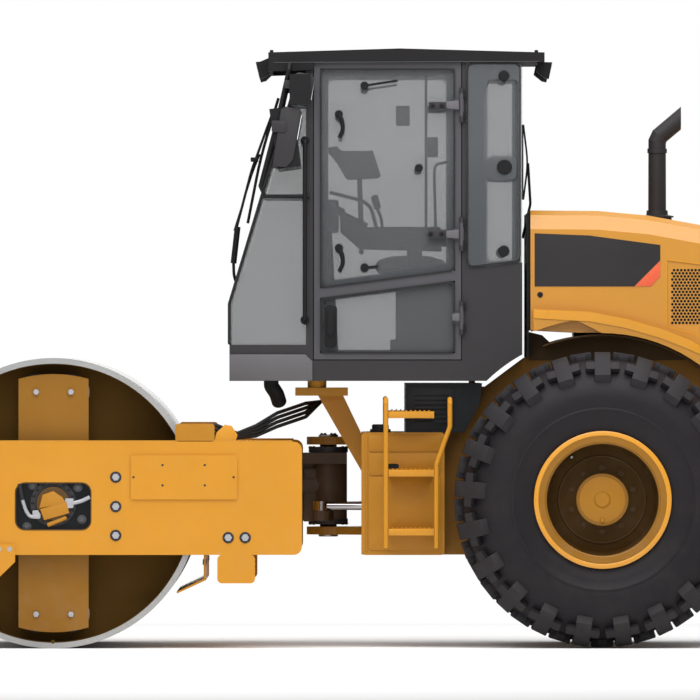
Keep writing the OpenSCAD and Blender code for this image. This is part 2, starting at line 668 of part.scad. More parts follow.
// Outline of the perforated side grilles
grille_outline = [[axle_x + 340, hood_low + 300], [axle_x + 340, hood_low + 660],
  [axle_x + 1100, hood_low + 560], [axle_x + 1100, hood_low + 160], [axle_x + 800, hood_low + 160]];

module hood_shape() difference() {
  hood_block(0);
  hood_block(hood_t);
  profile(concat([[hood_x0 - 2, hood_low - 300], [hood_x0 - 2, axle_z + arch_r + 7],
    [axle_x - 123, axle_z + arch_r - 6]], arc(axle_x, axle_z, arch_r, 84, 42, 14),
    [[axle_x + arch_r*cos(42), hood_low - 300]]), -hood_y - 1, hood_y + 1);
}

module hood() color(machine_yellow) difference() {
  union() {
    hood_shape();
    both_sides() profile(lip_outline, hood_y - 1, hood_y + lip_reach);
    both_sides() slab(hinge_x - 25, hood_x1 - 10, hinge_y, hinge_y + 25, hinge_z - 22, hinge_z + 60);
  }
  bar_y(hinge_x, hinge_z, hinge_pin_r + pin_clear, -hood_y + hood_t + 1, hood_y - hood_t - 1);
  profile(grille_outline, -hood_y - 1, hood_y + 1);
  slab(hood_x1 - 60, hood_x1 + 1, -480, 480, hood_low + 80, hood_low + 360);
  translate([axle_x + 307, 0, hood_low + 800]) cylinder(r = pipe_r + 30, h = 200);
}

module hood_grilles() color(rubber_black) {
  both_sides() profile(grille_outline, hood_y - 14, hood_y - 6);
  slab(hood_x1 - 14, hood_x1 - 6, -480, 480, hood_low + 80, hood_low + 360);
}

module exhaust() color(rubber_black) {
  x = axle_x + 307;
  z = hood_low + 890;
  translate([x, 0, z - 50]) cylinder(r = pipe_r + 30, h = 50);
  intersection() {
    swept([[x, 0, z], [x, 0, z + 400], [x + 14, 0, z + 430], [x + 300, 0, z + 670]], pipe_r, [0, 1, 0], 24);
    slab(x - 200, x + 127, -100, 100, z - 1, z + 710);
  }
}

module rim() color(machine_yellow) {
  seat = rim_seat_r;
  flange = rim_flange_r;
  cap = hub_cap_r;
  bore = osc_shaft_r + pin_clear;
  turned(axle_x, axle_z, [[0, 120], [cap, 120], [cap, 60], [cap + 40, 40], [280, 10], [seat - 34, 60],
    [seat - 34, 262], [seat - 20, 272], [flange, 272], [flange, 260], [seat, 252], [seat, -252],
    [flange, -260], [flange, -272], [seat - 20, -272], [seat - 20, -20], [cap + 90, -20], [cap + 90, -195],
    [bore, -195], [bore, -139], [0, -139]]);
}

// Lug of the tread's shoulder, at the top of the tyre and on its outer side
module shoulder_lug(base, h) {
  translate([-43, 0, 0]) rotate([90, 0, 90]) linear_extrude(86)
    polygon([[118, base - 20], [118, tyre_r - 3], [h - 140, tyre_r - 3], [h - 96, tyre_r - 30], [h - 4, 660],
      [h - 30, 618], [h - 90, 640], [h - 150, base - 20]]);
  translate([-90, 0, 0]) rotate([90, 0, 90]) linear_extrude(180)
    polygon([[h - 75, 728], [h - 40, 692], [h - 80, 670], [h - 115, 705]]);
}

module tyre() color(rubber_black) {
  s = rim_seat_r + 0.3;
  h = tyre_w/2;
  base = tyre_r - lug_h;
  side = [[rim_flange_r + 4, 256], [430, h - 12], [500, h - 2], [540, h], [580, h - 8], [620, h - 28],
    [662, h - 60], [700, h - 100], [728, h - 140], [base, h - 180]];
  back = [for (i = [len(side) - 1:-1:0]) [side[i].x, -side[i].y]];
  turned(axle_x, axle_z, concat([[s, -245], [s, 245]], side, back));
  for (i = [0:lug_count - 1]) translate([axle_x, 0, axle_z]) {
    rotate([0, i*360/lug_count, 0]) both_sides() shoulder_lug(base, h);
    rotate([0, (i + 0.5)*360/lug_count, 0]) slab(-58, 58, -90, 90, base - 10, tyre_r - 2);
  }
}

// Places a cylinder drawn along +X, its barrel pin at the origin, on its pins
module steer_frame()
  translate([barrel_pin_x, barrel_pin_y, steer_z]) rotate([0, 0, -steer_turn]) children();

module steer_barrel() color(machine_yellow) steer_frame() difference() {
  union() {
    bar_x(0, 0, barrel_r, 40, barrel_len);
    translate([0, 0, -eye_h/2]) cylinder(r = 50, h = eye_h);
    translate([0, 0, -eye_h/2 - 24.7]) cylinder(r = 24, h = 25);
  }
  bar_x(0, 0, barrel_bore_r, 75, barrel_len - 30);
  bar_x(0, 0, rod_r + pin_clear, 75, barrel_len + 1);
}

module steer_rod() color(steel_grey) steer_frame() {
  bar_x(0, 0, rod_r, 200, steer_len - 20);
  bar_x(0, 0, barrel_bore_r - pin_clear, 200, 230);
  translate([steer_len, 0, -eye_h/2]) cylinder(r = eye_r, h = eye_h);
}

module hoses() color(rubber_black)
  for (i = [0:3]) let (z = plate_top + 21 + 22*i, y = hose_r - plate_y + 0.4)
    swept([[hitch_x - 640, y, z], [hitch_x - 590, y, z], [hitch_x - 480, y + 40, plate_top + 20 + 8*i],
      [hitch_x - 380, y + 170, plate_top + 30 + 18*i], [hitch_x - 270, y + 420, plate_top + 78 + 24*i],
      [hitch_x - 120, -380 + 30*i, plate_top + 128 + 24*i], [hitch_x - 40, -150 + 60*i, cab_low - 112]],
      hose_r, [0, 0, 1]);

rear_frame();
counterweight();
rear_axle();
side_tanks();
cab_mast();
battery_boxes();
ladders();
cab_base();
cab_posts();
cab_roof();
windscreen();
cab_glass();
seat_base();
seat_pads();
console();
mirrors();
work_lights();
engine_block();
radiator();
fire_wall();
tie_down_rear();
hitch_casting();
side_plates();
front_beam();
rear_beam();
drum_motors();
rear_scraper();
front_scraper();
hose_guards();
tie_down_front();
drum_shell();
drive_plates();
rubber_mounts();
translate([0, -track_half, 0]) mirror([0, 1, 0]) tyre();  // tyre_left
translate([0, -track_half, 0]) mirror([0, 1, 0]) rim();  // rim_left
translate([0, track_half, 0]) tyre();  // tyre_right
translate([0, track_half, 0]) rim();  // rim_right
color(cab_grey) mirror([0, 1, 0]) door_frame();  // door_left
color(pane_tint) mirror([0, 1, 0]) door_panes();  // door_glass_left
color(cab_grey) door_frame();  // door_right
color(pane_tint) door_panes();  // door_glass_right
hood();
hood_grilles();
exhaust();
mirror([0, 1, 0]) steer_barrel();  // steer_barrel_left
mirror([0, 1, 0]) steer_rod();  // steer_rod_left
steer_barrel();  // steer_barrel_right
steer_rod();  // steer_rod_right
hoses();
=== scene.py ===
"""Dresses the packed soil compactor: finishes for every carried-over solid, and the small forms around them."""

import json
import math

import bmesh
import bpy
from mathutils import Matrix, Vector


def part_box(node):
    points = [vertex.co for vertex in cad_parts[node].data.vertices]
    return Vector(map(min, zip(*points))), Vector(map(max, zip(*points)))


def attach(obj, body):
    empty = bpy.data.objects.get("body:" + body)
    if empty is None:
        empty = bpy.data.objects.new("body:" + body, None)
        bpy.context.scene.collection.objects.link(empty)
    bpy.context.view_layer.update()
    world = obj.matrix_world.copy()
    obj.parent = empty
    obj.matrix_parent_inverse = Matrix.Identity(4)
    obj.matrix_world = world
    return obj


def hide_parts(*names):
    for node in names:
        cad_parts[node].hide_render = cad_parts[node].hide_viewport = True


bl_info = {
    "name": "Soil compactor dressing",
    "version": (1, 0, 0),
    "blender": (4, 5, 0),
    "location": "View3D > Sidebar > Compactor",
    "description": "Finishes and small pieces for an articulated soil compactor",
    "category": "Object",
}

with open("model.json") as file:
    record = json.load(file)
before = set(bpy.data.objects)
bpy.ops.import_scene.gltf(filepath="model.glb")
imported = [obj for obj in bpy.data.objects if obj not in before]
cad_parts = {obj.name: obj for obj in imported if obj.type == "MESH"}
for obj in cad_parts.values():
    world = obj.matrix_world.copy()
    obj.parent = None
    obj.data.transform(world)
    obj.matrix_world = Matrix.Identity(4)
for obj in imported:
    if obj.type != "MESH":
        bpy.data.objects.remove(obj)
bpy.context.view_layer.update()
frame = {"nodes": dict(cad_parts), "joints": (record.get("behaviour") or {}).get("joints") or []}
NODES = frame["nodes"]
JOINTS = {joint["name"]: joint for joint in frame["joints"]}
SIDES = {"left": -1, "right": 1}


def box_middle(node):
    low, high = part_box(node)
    return (low + high) / 2


# Places that the details are set from, in metres
HITCH_X = JOINTS["articulation"]["pos_m"][0]
SWAY_Z = JOINTS["oscillation"]["pos_m"][2]
DRUM = box_middle("drum_shell")
HUB = box_middle("tyre_right")
TYRE_R = (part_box("tyre_right")[1].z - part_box("tyre_right")[0].z) / 2
TYRE_HALF = (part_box("tyre_right")[1].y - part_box("tyre_right")[0].y) / 2
CAB_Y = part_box("cab_base")[1].y - 0.014
PLATE_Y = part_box("side_plates")[1].y
HOOD_LOW, HOOD_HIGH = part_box("hood")
HOOD_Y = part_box("hood_grilles")[1].y + 0.006
DOOR_LOW, DOOR_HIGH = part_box("door_glass_left")
ROOF_LOW, ROOF_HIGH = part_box("cab_roof")


class FinishSettings(bpy.types.PropertyGroup):
    """Colours of the finishes, as linear values"""
    paint: bpy.props.FloatVectorProperty(
        name="Machine paint", description="Main paint of the frames and the hood",
        default=(0.54, 0.232, 0.013), subtype="COLOR", min=0, max=1)
    cab: bpy.props.FloatVectorProperty(
        name="Cab paint", description="Dark paint of the cab",
        default=(0.027, 0.025, 0.027), subtype="COLOR", min=0, max=1)
    door: bpy.props.FloatVectorProperty(
        name="Door paint", description="Paint of the door frames and the front panel",
        default=(0.062, 0.060, 0.066), subtype="COLOR", min=0, max=1)
    band: bpy.props.FloatVectorProperty(
        name="Hood band", description="Dark band along the hood",
        default=(0.022, 0.020, 0.021), subtype="COLOR", min=0, max=1)
    stripe: bpy.props.FloatVectorProperty(
        name="Band stripe", description="Warm stripe at the band's end",
        default=(0.66, 0.105, 0.045), subtype="COLOR", min=0, max=1)
    rubber: bpy.props.FloatVectorProperty(
        name="Rubber", description="Tyres, seals and hoses",
        default=(0.014, 0.014, 0.015), subtype="COLOR", min=0, max=1)
    pane: bpy.props.FloatVectorProperty(
        name="Glass", description="Smoked glass of the cab",
        default=(0.140, 0.147, 0.152), subtype="COLOR", min=0, max=1)
    frit: bpy.props.FloatVectorProperty(
        name="Tinted border", description="Dark border of the panes",
        default=(0.090, 0.097, 0.103), subtype="COLOR", min=0, max=1)
    pane_alpha: bpy.props.FloatProperty(
        name="Glass cover", description="How much of what lies behind a pane it hides",
        default=0.36, min=0, max=1)


class BoltSettings(bpy.types.PropertyGroup):
    """Sizes of the bolts"""
    head: bpy.props.FloatProperty(
        name="Head radius", description="Radius of a bolt's head over its corners",
        default=0.022, min=0.005, max=0.05, unit="LENGTH")
    height: bpy.props.FloatProperty(
        name="Head height", description="Height of a bolt's head",
        default=0.014, min=0.003, max=0.04, unit="LENGTH")
    washer: bpy.props.FloatProperty(
        name="Washer radius", description="Radius of the washer under a head",
        default=0.031, min=0.006, max=0.06, unit="LENGTH")


class TyreSettings(bpy.types.PropertyGroup):
    """Sizes of the tread"""
    lugs: bpy.props.IntProperty(
        name="Lugs", description="Lugs round each row of the tread", default=21, min=12, max=36)
    lug_depth: bpy.props.FloatProperty(
        name="Lug depth", description="How far the tread's lugs stand out",
        default=0.042, min=0.01, max=0.08, unit="LENGTH")


class StageSettings(bpy.types.PropertyGroup):
    """Camera and light"""
    distance: bpy.props.FloatProperty(
        name="Camera distance", description="From the camera to the machine's middle plane",
        default=90.0, min=10, max=90, unit="LENGTH")
    view_width: bpy.props.FloatProperty(
        name="View width", description="Width of the picture at the machine's middle plane",
        default=3.703, min=1, max=12, unit="LENGTH")
    aim_x: bpy.props.FloatProperty(
        name="Aim along", description="Picture centre along the machine", default=-0.391, unit="LENGTH")
    aim_z: bpy.props.FloatProperty(
        name="Aim height", description="Picture centre in height", default=1.576, unit="LENGTH")
    sky: bpy.props.FloatProperty(
        name="Sky", description="Strength of the light from all round", default=0.42, min=0, max=3)
    above: bpy.props.FloatProperty(
        name="Light above", description="Power of the light above the machine", default=1500, min=0, max=9000)
    front: bpy.props.FloatProperty(
        name="Light in front", description="Power of the light beside the camera", default=250, min=0, max=9000)
    back: bpy.props.FloatProperty(
        name="Light behind", description="Power of the light behind the machine", default=3000, min=0, max=40000)


def colour(values):
    return (values[0], values[1], values[2], 1.0)


# Shader node groups and materials

def shader_group(name, inputs, outputs):
    """A new shader node group with its sockets, and its two end nodes."""
    tree = bpy.data.node_groups.new(name, "ShaderNodeTree")
    for label, kind, value in inputs:
        socket = tree.interface.new_socket(name=label, in_out="INPUT", socket_type=kind)
        if value is not None:
            socket.default_value = value
    for label, kind in outputs:
        tree.interface.new_socket(name=label, in_out="OUTPUT", socket_type=kind)
    return tree, tree.nodes.new("NodeGroupInput"), tree.nodes.new("NodeGroupOutput")


def noise_node(tree, vector, scale, detail=3.0):
    node = tree.nodes.new("ShaderNodeTexNoise")
    node.inputs["Detail"].default_value = detail
    tree.links.new(vector, node.inputs["Vector"])
    if isinstance(scale, (int, float)):
        node.inputs["Scale"].default_value = scale
    else:
        tree.links.new(scale, node.inputs["Scale"])
    return node.outputs["Fac"]


def math_node(tree, operation, first, second):
    node = tree.nodes.new("ShaderNodeMath")
    node.operation = operation
    for socket, value in zip(node.inputs, (first, second)):
        if isinstance(value, (int, float)):
            socket.default_value = value
        else:
            tree.links.new(value, socket)
    return node.outputs[0]


def range_node(tree, value, low, high, to_low, to_high):
    node = tree.nodes.new("ShaderNodeMapRange")
    tree.links.new(value, node.inputs["Value"])
    for label, number in (("From Min", low), ("From Max", high), ("To Min", to_low), ("To Max", to_high)):
        if isinstance(number, (int, float)):
            node.inputs[label].default_value = number
        else:
            tree.links.new(number, node.inputs[label])
    return node.outputs["Result"]


def mix_colour(tree, factor, first, second):
    node = tree.nodes.new("ShaderNodeMix")
    node.data_type = "RGBA"
    tree.links.new(factor, node.inputs["Factor"])
    for label, value in (("A", first), ("B", second)):
        socket = next(s for s in node.inputs if s.name == label and s.type == "RGBA")
        if isinstance(value, tuple):
            socket.default_value = value
        else:
            tree.links.new(value, socket)
    return next(s for s in node.outputs if s.type == "RGBA")


def worn_surface_group():
    """Colour, roughness and height that vary over a surface: broad tone, fine grain and dust low down."""
    tree, start, end = shader_group("Worn surface", [
        ("Vector", "NodeSocketVector", None),
        ("Colour", "NodeSocketColor", (0.5, 0.5, 0.5, 1)),
        ("Dust colour", "NodeSocketColor", (0.35, 0.30, 0.23, 1)),
        ("Tone", "NodeSocketFloat", 0.1),
        ("Dust", "NodeSocketFloat", 0.1),
        ("Roughness", "NodeSocketFloat", 0.4),
        ("Grain scale", "NodeSocketFloat", 300.0)],
        [("Colour", "NodeSocketColor"), ("Roughness", "NodeSocketFloat"), ("Height", "NodeSocketFloat")])
    places = start.outputs["Vector"]
    broad = noise_node(tree, places, 2.3)
    patch = noise_node(tree, places, 11.0, 5.0)
    grain = noise_node(tree, places, start.outputs["Grain scale"], 2.0)
    less = math_node(tree, "SUBTRACT", 1.0, start.outputs["Tone"])
    more = math_node(tree, "ADD", 1.0, start.outputs["Tone"])
    tone = range_node(tree, broad, 0.3, 0.7, less, more)
    scale = tree.nodes.new("ShaderNodeVectorMath")
    scale.operation = "SCALE"
    tree.links.new(start.outputs["Colour"], scale.inputs[0])
    tree.links.new(tone, scale.inputs["Scale"])
    parts = tree.nodes.new("ShaderNodeSeparateXYZ")
    tree.links.new(places, parts.inputs[0])
    low = range_node(tree, parts.outputs["Z"], 0.2, 1.5, 1.0, 0.15)
    speck = range_node(tree, patch, 0.42, 0.75, 0.0, 1.0)
    dust = math_node(tree, "MULTIPLY", math_node(tree, "MULTIPLY", low, speck), start.outputs["Dust"])
    tree.links.new(mix_colour(tree, dust, scale.outputs[0], start.outputs["Dust colour"]), end.inputs["Colour"])
    rough = math_node(tree, "ADD", start.outputs["Roughness"],
                      math_node(tree, "MULTIPLY", math_node(tree, "SUBTRACT", patch, 0.5), 0.16))
    tree.links.new(math_node(tree, "ADD", rough, math_node(tree, "MULTIPLY", dust, 0.3)), end.inputs["Roughness"])
    tree.links.new(grain, end.inputs["Height"])
    return tree


def weave_group():
    """A woven cloth: crossing threads as colour and height."""
    tree, start, end = shader_group("Weave", [
        ("Vector", "NodeSocketVector", None),
        ("Colour", "NodeSocketColor", (0.1, 0.1, 0.1, 1)),
        ("Thread scale", "NodeSocketFloat", 260.0)],
        [("Colour", "NodeSocketColor"), ("Height", "NodeSocketFloat")])
    threads = []
    for direction in ("X", "Z"):
        wave = tree.nodes.new("ShaderNodeTexWave")
        wave.bands_direction = direction
        wave.inputs["Distortion"].default_value = 0.6
        tree.links.new(start.outputs["Vector"], wave.inputs["Vector"])
        tree.links.new(start.outputs["Thread scale"], wave.inputs["Scale"])
        threads.append(wave.outputs["Fac"])
    both = math_node(tree, "MULTIPLY", threads[0], threads[1])
    tone = range_node(tree, both, 0.0, 1.0, 0.6, 1.25)
    scale = tree.nodes.new("ShaderNodeVectorMath")
    scale.operation = "SCALE"
    tree.links.new(start.outputs["Colour"], scale.inputs[0])
    tree.links.new(tone, scale.inputs["Scale"])
    tree.links.new(scale.outputs[0], end.inputs["Colour"])
    tree.links.new(both, end.inputs["Height"])
    return tree


GROUPS = {}


def surface_material(name, base, rough, metal=0.0, tone=0.08, dust=0.08, grain=300.0, bump=0.02, coat=0.0,
                     dust_colour=(0.35, 0.30, 0.23), gloss=0.25):
    """A finish whose colour, roughness and fine grain come from the worn surface group."""
    material = bpy.data.materials.new(name)
    material.use_nodes = True
    tree = material.node_tree
    shader = tree.nodes["Principled BSDF"]
    places = tree.nodes.new("ShaderNodeTexCoord")
    group = tree.nodes.new("ShaderNodeGroup")
    group.node_tree = GROUPS["worn"]
    tree.links.new(places.outputs["Object"], group.inputs["Vector"])
    for label, value in (("Colour", colour(base)), ("Dust colour", colour(dust_colour)), ("Tone", tone),
                         ("Dust", dust), ("Roughness", rough), ("Grain scale", grain)):
        group.inputs[label].default_value = value
    tree.links.new(group.outputs["Colour"], shader.inputs["Base Color"])
    tree.links.new(group.outputs["Roughness"], shader.inputs["Roughness"])
    bumps = tree.nodes.new("ShaderNodeBump")
    bumps.inputs["Strength"].default_value = bump
    bumps.inputs["Distance"].default_value = 0.001
    tree.links.new(group.outputs["Height"], bumps.inputs["Height"])
    tree.links.new(bumps.outputs["Normal"], shader.inputs["Normal"])
    shader.inputs["Metallic"].default_value = metal
    shader.inputs["Specular IOR Level"].default_value = gloss
    shader.inputs["Coat Weight"].default_value = coat
    shader.inputs["Coat Roughness"].default_value = 0.30
    material.diffuse_color = colour(base)
    return material


def cloth_material(name, base):
    material = bpy.data.materials.new(name)
    material.use_nodes = True
    tree = material.node_tree
    shader = tree.nodes["Principled BSDF"]
    places = tree.nodes.new("ShaderNodeTexCoord")
    group = tree.nodes.new("ShaderNodeGroup")
    group.node_tree = GROUPS["weave"]
    group.inputs["Colour"].default_value = colour(base)
    tree.links.new(places.outputs["Object"], group.inputs["Vector"])
    tree.links.new(group.outputs["Colour"], shader.inputs["Base Color"])
    bumps = tree.nodes.new("ShaderNodeBump")
    bumps.inputs["Strength"].default_value = 0.35
    bumps.inputs["Distance"].default_value = 0.0008
    tree.links.new(group.outputs["Height"], bumps.inputs["Height"])
    tree.links.new(bumps.outputs["Normal"], shader.inputs["Normal"])
    shader.inputs["Roughness"].default_value = 0.85
    shader.inputs["Sheen Weight"].default_value = 0.3
    return material


def glass_material(name, base, alpha):
    material = surface_material(name, base, 0.06, tone=0.03, dust=0.0, grain=60.0, bump=0.0)
    shader = material.node_tree.nodes["Principled BSDF"]
    shader.inputs["Alpha"].default_value = alpha
    material.surface_render_method = "BLENDED"
    return material


def make_materials(finish):
    """Every finish of the machine, by name."""
    GROUPS["worn"] = worn_surface_group()
    GROUPS["weave"] = weave_group()
    shaded = tuple(0.45 * c for c in finish.paint)
    # A dark copy of the machine paint: painted deep shade, for parts that lie in shade under or behind others
    dark = tuple(share * c for share, c in zip((0.13, 0.14, 0.30), finish.paint))
    return {
        "paint": surface_material("Machine paint", finish.paint, 0.40, tone=0.04, dust=0.05, bump=0.03, coat=0.10),
        # A lighter copy of the machine paint: painted highlight, for the rims' outer rings and the fender lips
        "highlight_paint": surface_material("Machine paint with painted highlight", tuple(min(1, 1.1 * c) for c in finish.paint),
                                        0.30, tone=0.03, dust=0.02, bump=0.02, coat=0.5),
        "shaded": surface_material("Shaded machine paint", shaded, 0.50, tone=0.08, dust=0.08, bump=0.04),
        # A half-dark copy of the machine paint: painted half shade
        "half_shaded": surface_material("Machine paint in painted half shade", tuple(0.72 * c for c in finish.paint), 0.48, tone=0.06,
                                        dust=0.05, bump=0.04),
        # The machine paint a little darker: painted shade on the hood's sides
        "hood": surface_material("Hood paint in painted shade", tuple(0.88 * c for c in finish.paint), 0.34, tone=0.03, dust=0.02,
                                 bump=0.02, coat=0.8),
        "panel": surface_material("Light panel paint", (0.105, 0.100, 0.106), 0.5, tone=0.03, dust=0.01, bump=0.03),
        "roof": surface_material("Roof paint", (0.013, 0.012, 0.013), 0.6, tone=0.04, dust=0.01, bump=0.04, gloss=0.12),
        # A dark brown colour with a strong random tone
        "casting": surface_material("Dark brown casting", (0.060, 0.034, 0.017), 0.5, tone=0.25, dust=0.08,
                                    grain=120.0, bump=0.25),
        # Painted deep shade: the machine paint darkened
        "deep_shade_paint": surface_material("Machine paint in painted deep shade", dark, 0.55, tone=0.12, dust=0.08, bump=0.05),
        "cab": surface_material("Cab paint", finish.cab, 0.5, tone=0.05, dust=0.02, bump=0.04),
        "door": surface_material("Door paint", finish.door, 0.48, tone=0.04, dust=0.02, bump=0.04),
        "band": surface_material("Hood band", finish.band, 0.45, tone=0.05, dust=0.02),
        "stripe": surface_material("Band stripe", finish.stripe, 0.45, tone=0.03, dust=0.01),
        "rubber": surface_material("Black rubber", finish.rubber, 0.6, tone=0.12, dust=0.03, bump=0.12),
        "tyre": surface_material("Tyre rubber", (0.013, 0.011, 0.013), 0.50, tone=0.10, dust=0.02,
                                 grain=180.0, bump=0.15, gloss=0.15),
        "lug": surface_material("Tread rubber", (0.020, 0.018, 0.020), 0.65, tone=0.12, dust=0.03,
                                grain=180.0, bump=0.18, gloss=0.2),
        "plastic": surface_material("Black plastic", (0.009, 0.009, 0.010), 0.5, tone=0.08, dust=0.01,
                                    grain=700.0, bump=0.1, gloss=0.15),
        "liner": surface_material("Grey plastic", (0.070, 0.071, 0.074), 0.55, tone=0.05, dust=0.0,
                                  grain=600.0, bump=0.2),
        "steel_grey": surface_material("Grey zinc plating", (0.36, 0.36, 0.38), 0.4, metal=0.3, tone=0.05, dust=0.02),
        "steel": surface_material("Plated steel", (0.45, 0.45, 0.44), 0.34, metal=1.0, tone=0.08, dust=0.03),
        "drum": surface_material("Rolled steel", (0.38, 0.38, 0.375), 0.42, metal=0.85, tone=0.12, dust=0.15,
                                 grain=90.0, bump=0.12),
        # The heads' yellow paint darkened to brown: painted shade inside the drum
        "drum_head_shade": surface_material("Drum head paint in painted shade", (0.085, 0.042, 0.006), 0.7, tone=0.12, dust=0.02, bump=0.05,
                                        gloss=0.08),
        "chrome": surface_material("Chromed rod", (0.42, 0.42, 0.43), 0.14, metal=1.0, tone=0.02, dust=0.0),
        "exhaust": surface_material("Exhaust paint", (0.020, 0.018, 0.020), 0.55, tone=0.12, dust=0.03, bump=0.1),
        "glass": glass_material("Smoked glass", finish.pane, finish.pane_alpha),
        "frit": glass_material("Tinted border", finish.frit, 0.62),
        "mirror": surface_material("Mirror glass", (0.8, 0.82, 0.83), 0.04, metal=1.0, tone=0.0, dust=0.0),
        "lens": surface_material("Lamp lens", (0.75, 0.76, 0.76), 0.12, tone=0.05, dust=0.02, grain=150.0, bump=0.3),
        "cloth": cloth_material("Cushion cloth", (0.030, 0.030, 0.034)),
        # Near black: the dark of seams, and painted shade for holes, slots, the motor windows and the battery boxes
        "screen": surface_material("Screen", (0.006, 0.007, 0.008), 0.2, tone=0.0, dust=0.0),
    }


MATERIALS = {}


# Building meshes

class Piece:
    """Gathers solid forms into one mesh that has one finish and rides on one body."""

    def __init__(self, name, body, finish):
        self.name = name
        self.body = body
        self.finish = finish
        self.bm = bmesh.new()

    def _soften(self, faces, bevel, segments=2):
        if bevel > 0:
            edges = list({edge for face in faces for edge in face.edges})
            bmesh.ops.bevel(self.bm, geom=edges, offset=bevel, segments=segments, affect="EDGES", profile=0.5,
                            clamp_overlap=True)

    def block(self, low, high, bevel=0.004, turn=None, about=None):
        """A box with softened edges, turned by a matrix about a point."""
        low, high = Vector(low), Vector(high)
        made = bmesh.ops.create_cube(self.bm, size=1.0)["verts"]
        size = high - low
        centre = (low + high) / 2
        for vert in made:
            vert.co = Vector((vert.co.x * size.x, vert.co.y * size.y, vert.co.z * size.z)) + centre
            if turn is not None:
                pivot = Vector(about) if about else centre
                vert.co = turn @ (vert.co - pivot) + pivot
        self._soften({face for vert in made for face in vert.link_faces}, min(bevel, 0.45 * min(abs(s) for s in size)))
        return self

    def prism(self, outline, y0, y1, bevel=0.0, plane="xz"):
        """An outline of (x, z) points, or of (x, y) in plan, as a plate from y0 to y1."""
        def place(u, v, w):
            return Vector((u, w, v)) if plane == "xz" else (Vector((u, v, w)) if plane == "xy" else Vector((w, u, v)))
        near = [self.bm.verts.new(place(u, v, y0)) for u, v in outline]
        far = [self.bm.verts.new(place(u, v, y1)) for u, v in outline]
        count = len(outline)
        faces = [self.bm.faces.new(near), self.bm.faces.new(list(reversed(far)))]
        faces += [self.bm.faces.new((near[i], far[i], far[(i + 1) % count], near[(i + 1) % count]))
                  for i in range(count)]
        if bevel > 0:
            rims = [edge for face in faces[:2] for edge in face.edges]
            bmesh.ops.bevel(self.bm, geom=list(set(rims)), offset=bevel, segments=2, affect="EDGES", profile=0.5,
                            clamp_overlap=True)
        return self

    def frame_ring(self, outer, inner, y0, y1):
        """A flat ring between two outlines with as many points each, as a plate from y0 to y1."""
        rows = [[self.bm.verts.new((u, y, v)) for u, v in outline] for y in (y0, y1) for outline in (outer, inner)]
        count = len(outer)
        near_out, near_in, far_out, far_in = rows
        for a, b in ((near_out, near_in), (near_in, far_in), (far_in, far_out), (far_out, near_out)):
            for i in range(count):
                j = (i + 1) % count
                self.bm.faces.new((a[i], a[j], b[j], b[i]))
        return self

    def lathe(self, profile, centre, axis="y", steps=72):
        """A closed profile of (radius, distance along the axis) points turned about the axis through a point."""
        centre = Vector(centre)
        rings = []
        for radius, along in profile:
            ring = []
            for i in range(steps):
                angle = 2 * math.pi * i / steps
                u, v = radius * math.cos(angle), radius * math.sin(angle)
                offset = {"y": (u, along, v), "x": (along, u, v), "z": (u, v, along)}[axis]
                ring.append(self.bm.verts.new(centre + Vector(offset)))
            rings.append(ring)
        for first, second in zip(rings, rings[1:]):
            for i in range(steps):
                j = (i + 1) % steps
                self.bm.faces.new((first[i], first[j], second[j], second[i]))
        for i in range(steps):
            j = (i + 1) % steps
            self.bm.faces.new((rings[-1][i], rings[-1][j], rings[0][j], rings[0][i]))
        return self

    def rod(self, start, end, radius, sides=20, bevel=0.0):
        """A round bar between two points, with small chamfers at its ends."""
        start, end = Vector(start), Vector(end)
        axis = (end - start).normalized()
        side = axis.orthogonal().normalized()
        other = axis.cross(side)
        length = (end - start).length
        places = [(0.0, radius - bevel), (bevel, radius), (length - bevel, radius), (length, radius - bevel)]
        if bevel <= 0:
            places = [(0.0, radius), (length, radius)]
        rings = []
        for along, reach in places:
            rings.append([self.bm.verts.new(start + axis * along + side * reach * math.cos(2 * math.pi * i / sides)
                                            + other * reach * math.sin(2 * math.pi * i / sides))
                          for i in range(sides)])
        for first, second in zip(rings, rings[1:]):
            for i in range(sides):
                j = (i + 1) % sides
                self.bm.faces.new((first[i], first[j], second[j], second[i]))
        self.bm.faces.new(rings[0])
        self.bm.faces.new(rings[-1])
        return self

    def pipe(self, path, radius, sides=14, turns=6):
        """A round tube along a path whose corners are rounded."""
        points = rounded_path([Vector(p) for p in path], turns)
        rings = []
        side = None
        for i, point in enumerate(points):
            before = points[max(i - 1, 0)]
            after = points[min(i + 1, len(points) - 1)]
            axis = (after - before).normalized()
            side = axis.orthogonal().normalized() if side is None else (side - axis * side.dot(axis)).normalized()
            other = axis.cross(side)
            reach = radius(i / (len(points) - 1)) if callable(radius) else radius
            rings.append([self.bm.verts.new(point + side * reach * math.cos(2 * math.pi * k / sides)
                                            + other * reach * math.sin(2 * math.pi * k / sides))
                          for k in range(sides)])
        for first, second in zip(rings, rings[1:]):
            for k in range(sides):
                j = (k + 1) % sides
                self.bm.faces.new((first[k], first[j], second[j], second[k]))
        self.bm.faces.new(rings[0])
        self.bm.faces.new(rings[-1])
        return self

    def done(self, sharp=35, replaces=()):
        """The finished object, on its body."""
        bmesh.ops.recalc_face_normals(self.bm, faces=self.bm.faces)
        mesh = bpy.data.meshes.new(self.name)
        self.bm.to_mesh(mesh)
        self.bm.free()
        mesh.materials.append(MATERIALS[self.finish])
        obj = bpy.data.objects.new(self.name, mesh)
        bpy.context.scene.collection.objects.link(obj)
        smooth(mesh, sharp)
        if self.body is not None:
            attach(obj, self.body)
        for node in replaces:
            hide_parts(node)
        return obj


def smooth(mesh, sharp=35):
    mesh.shade_smooth()
    mesh.set_sharp_from_angle(angle=math.radians(sharp))


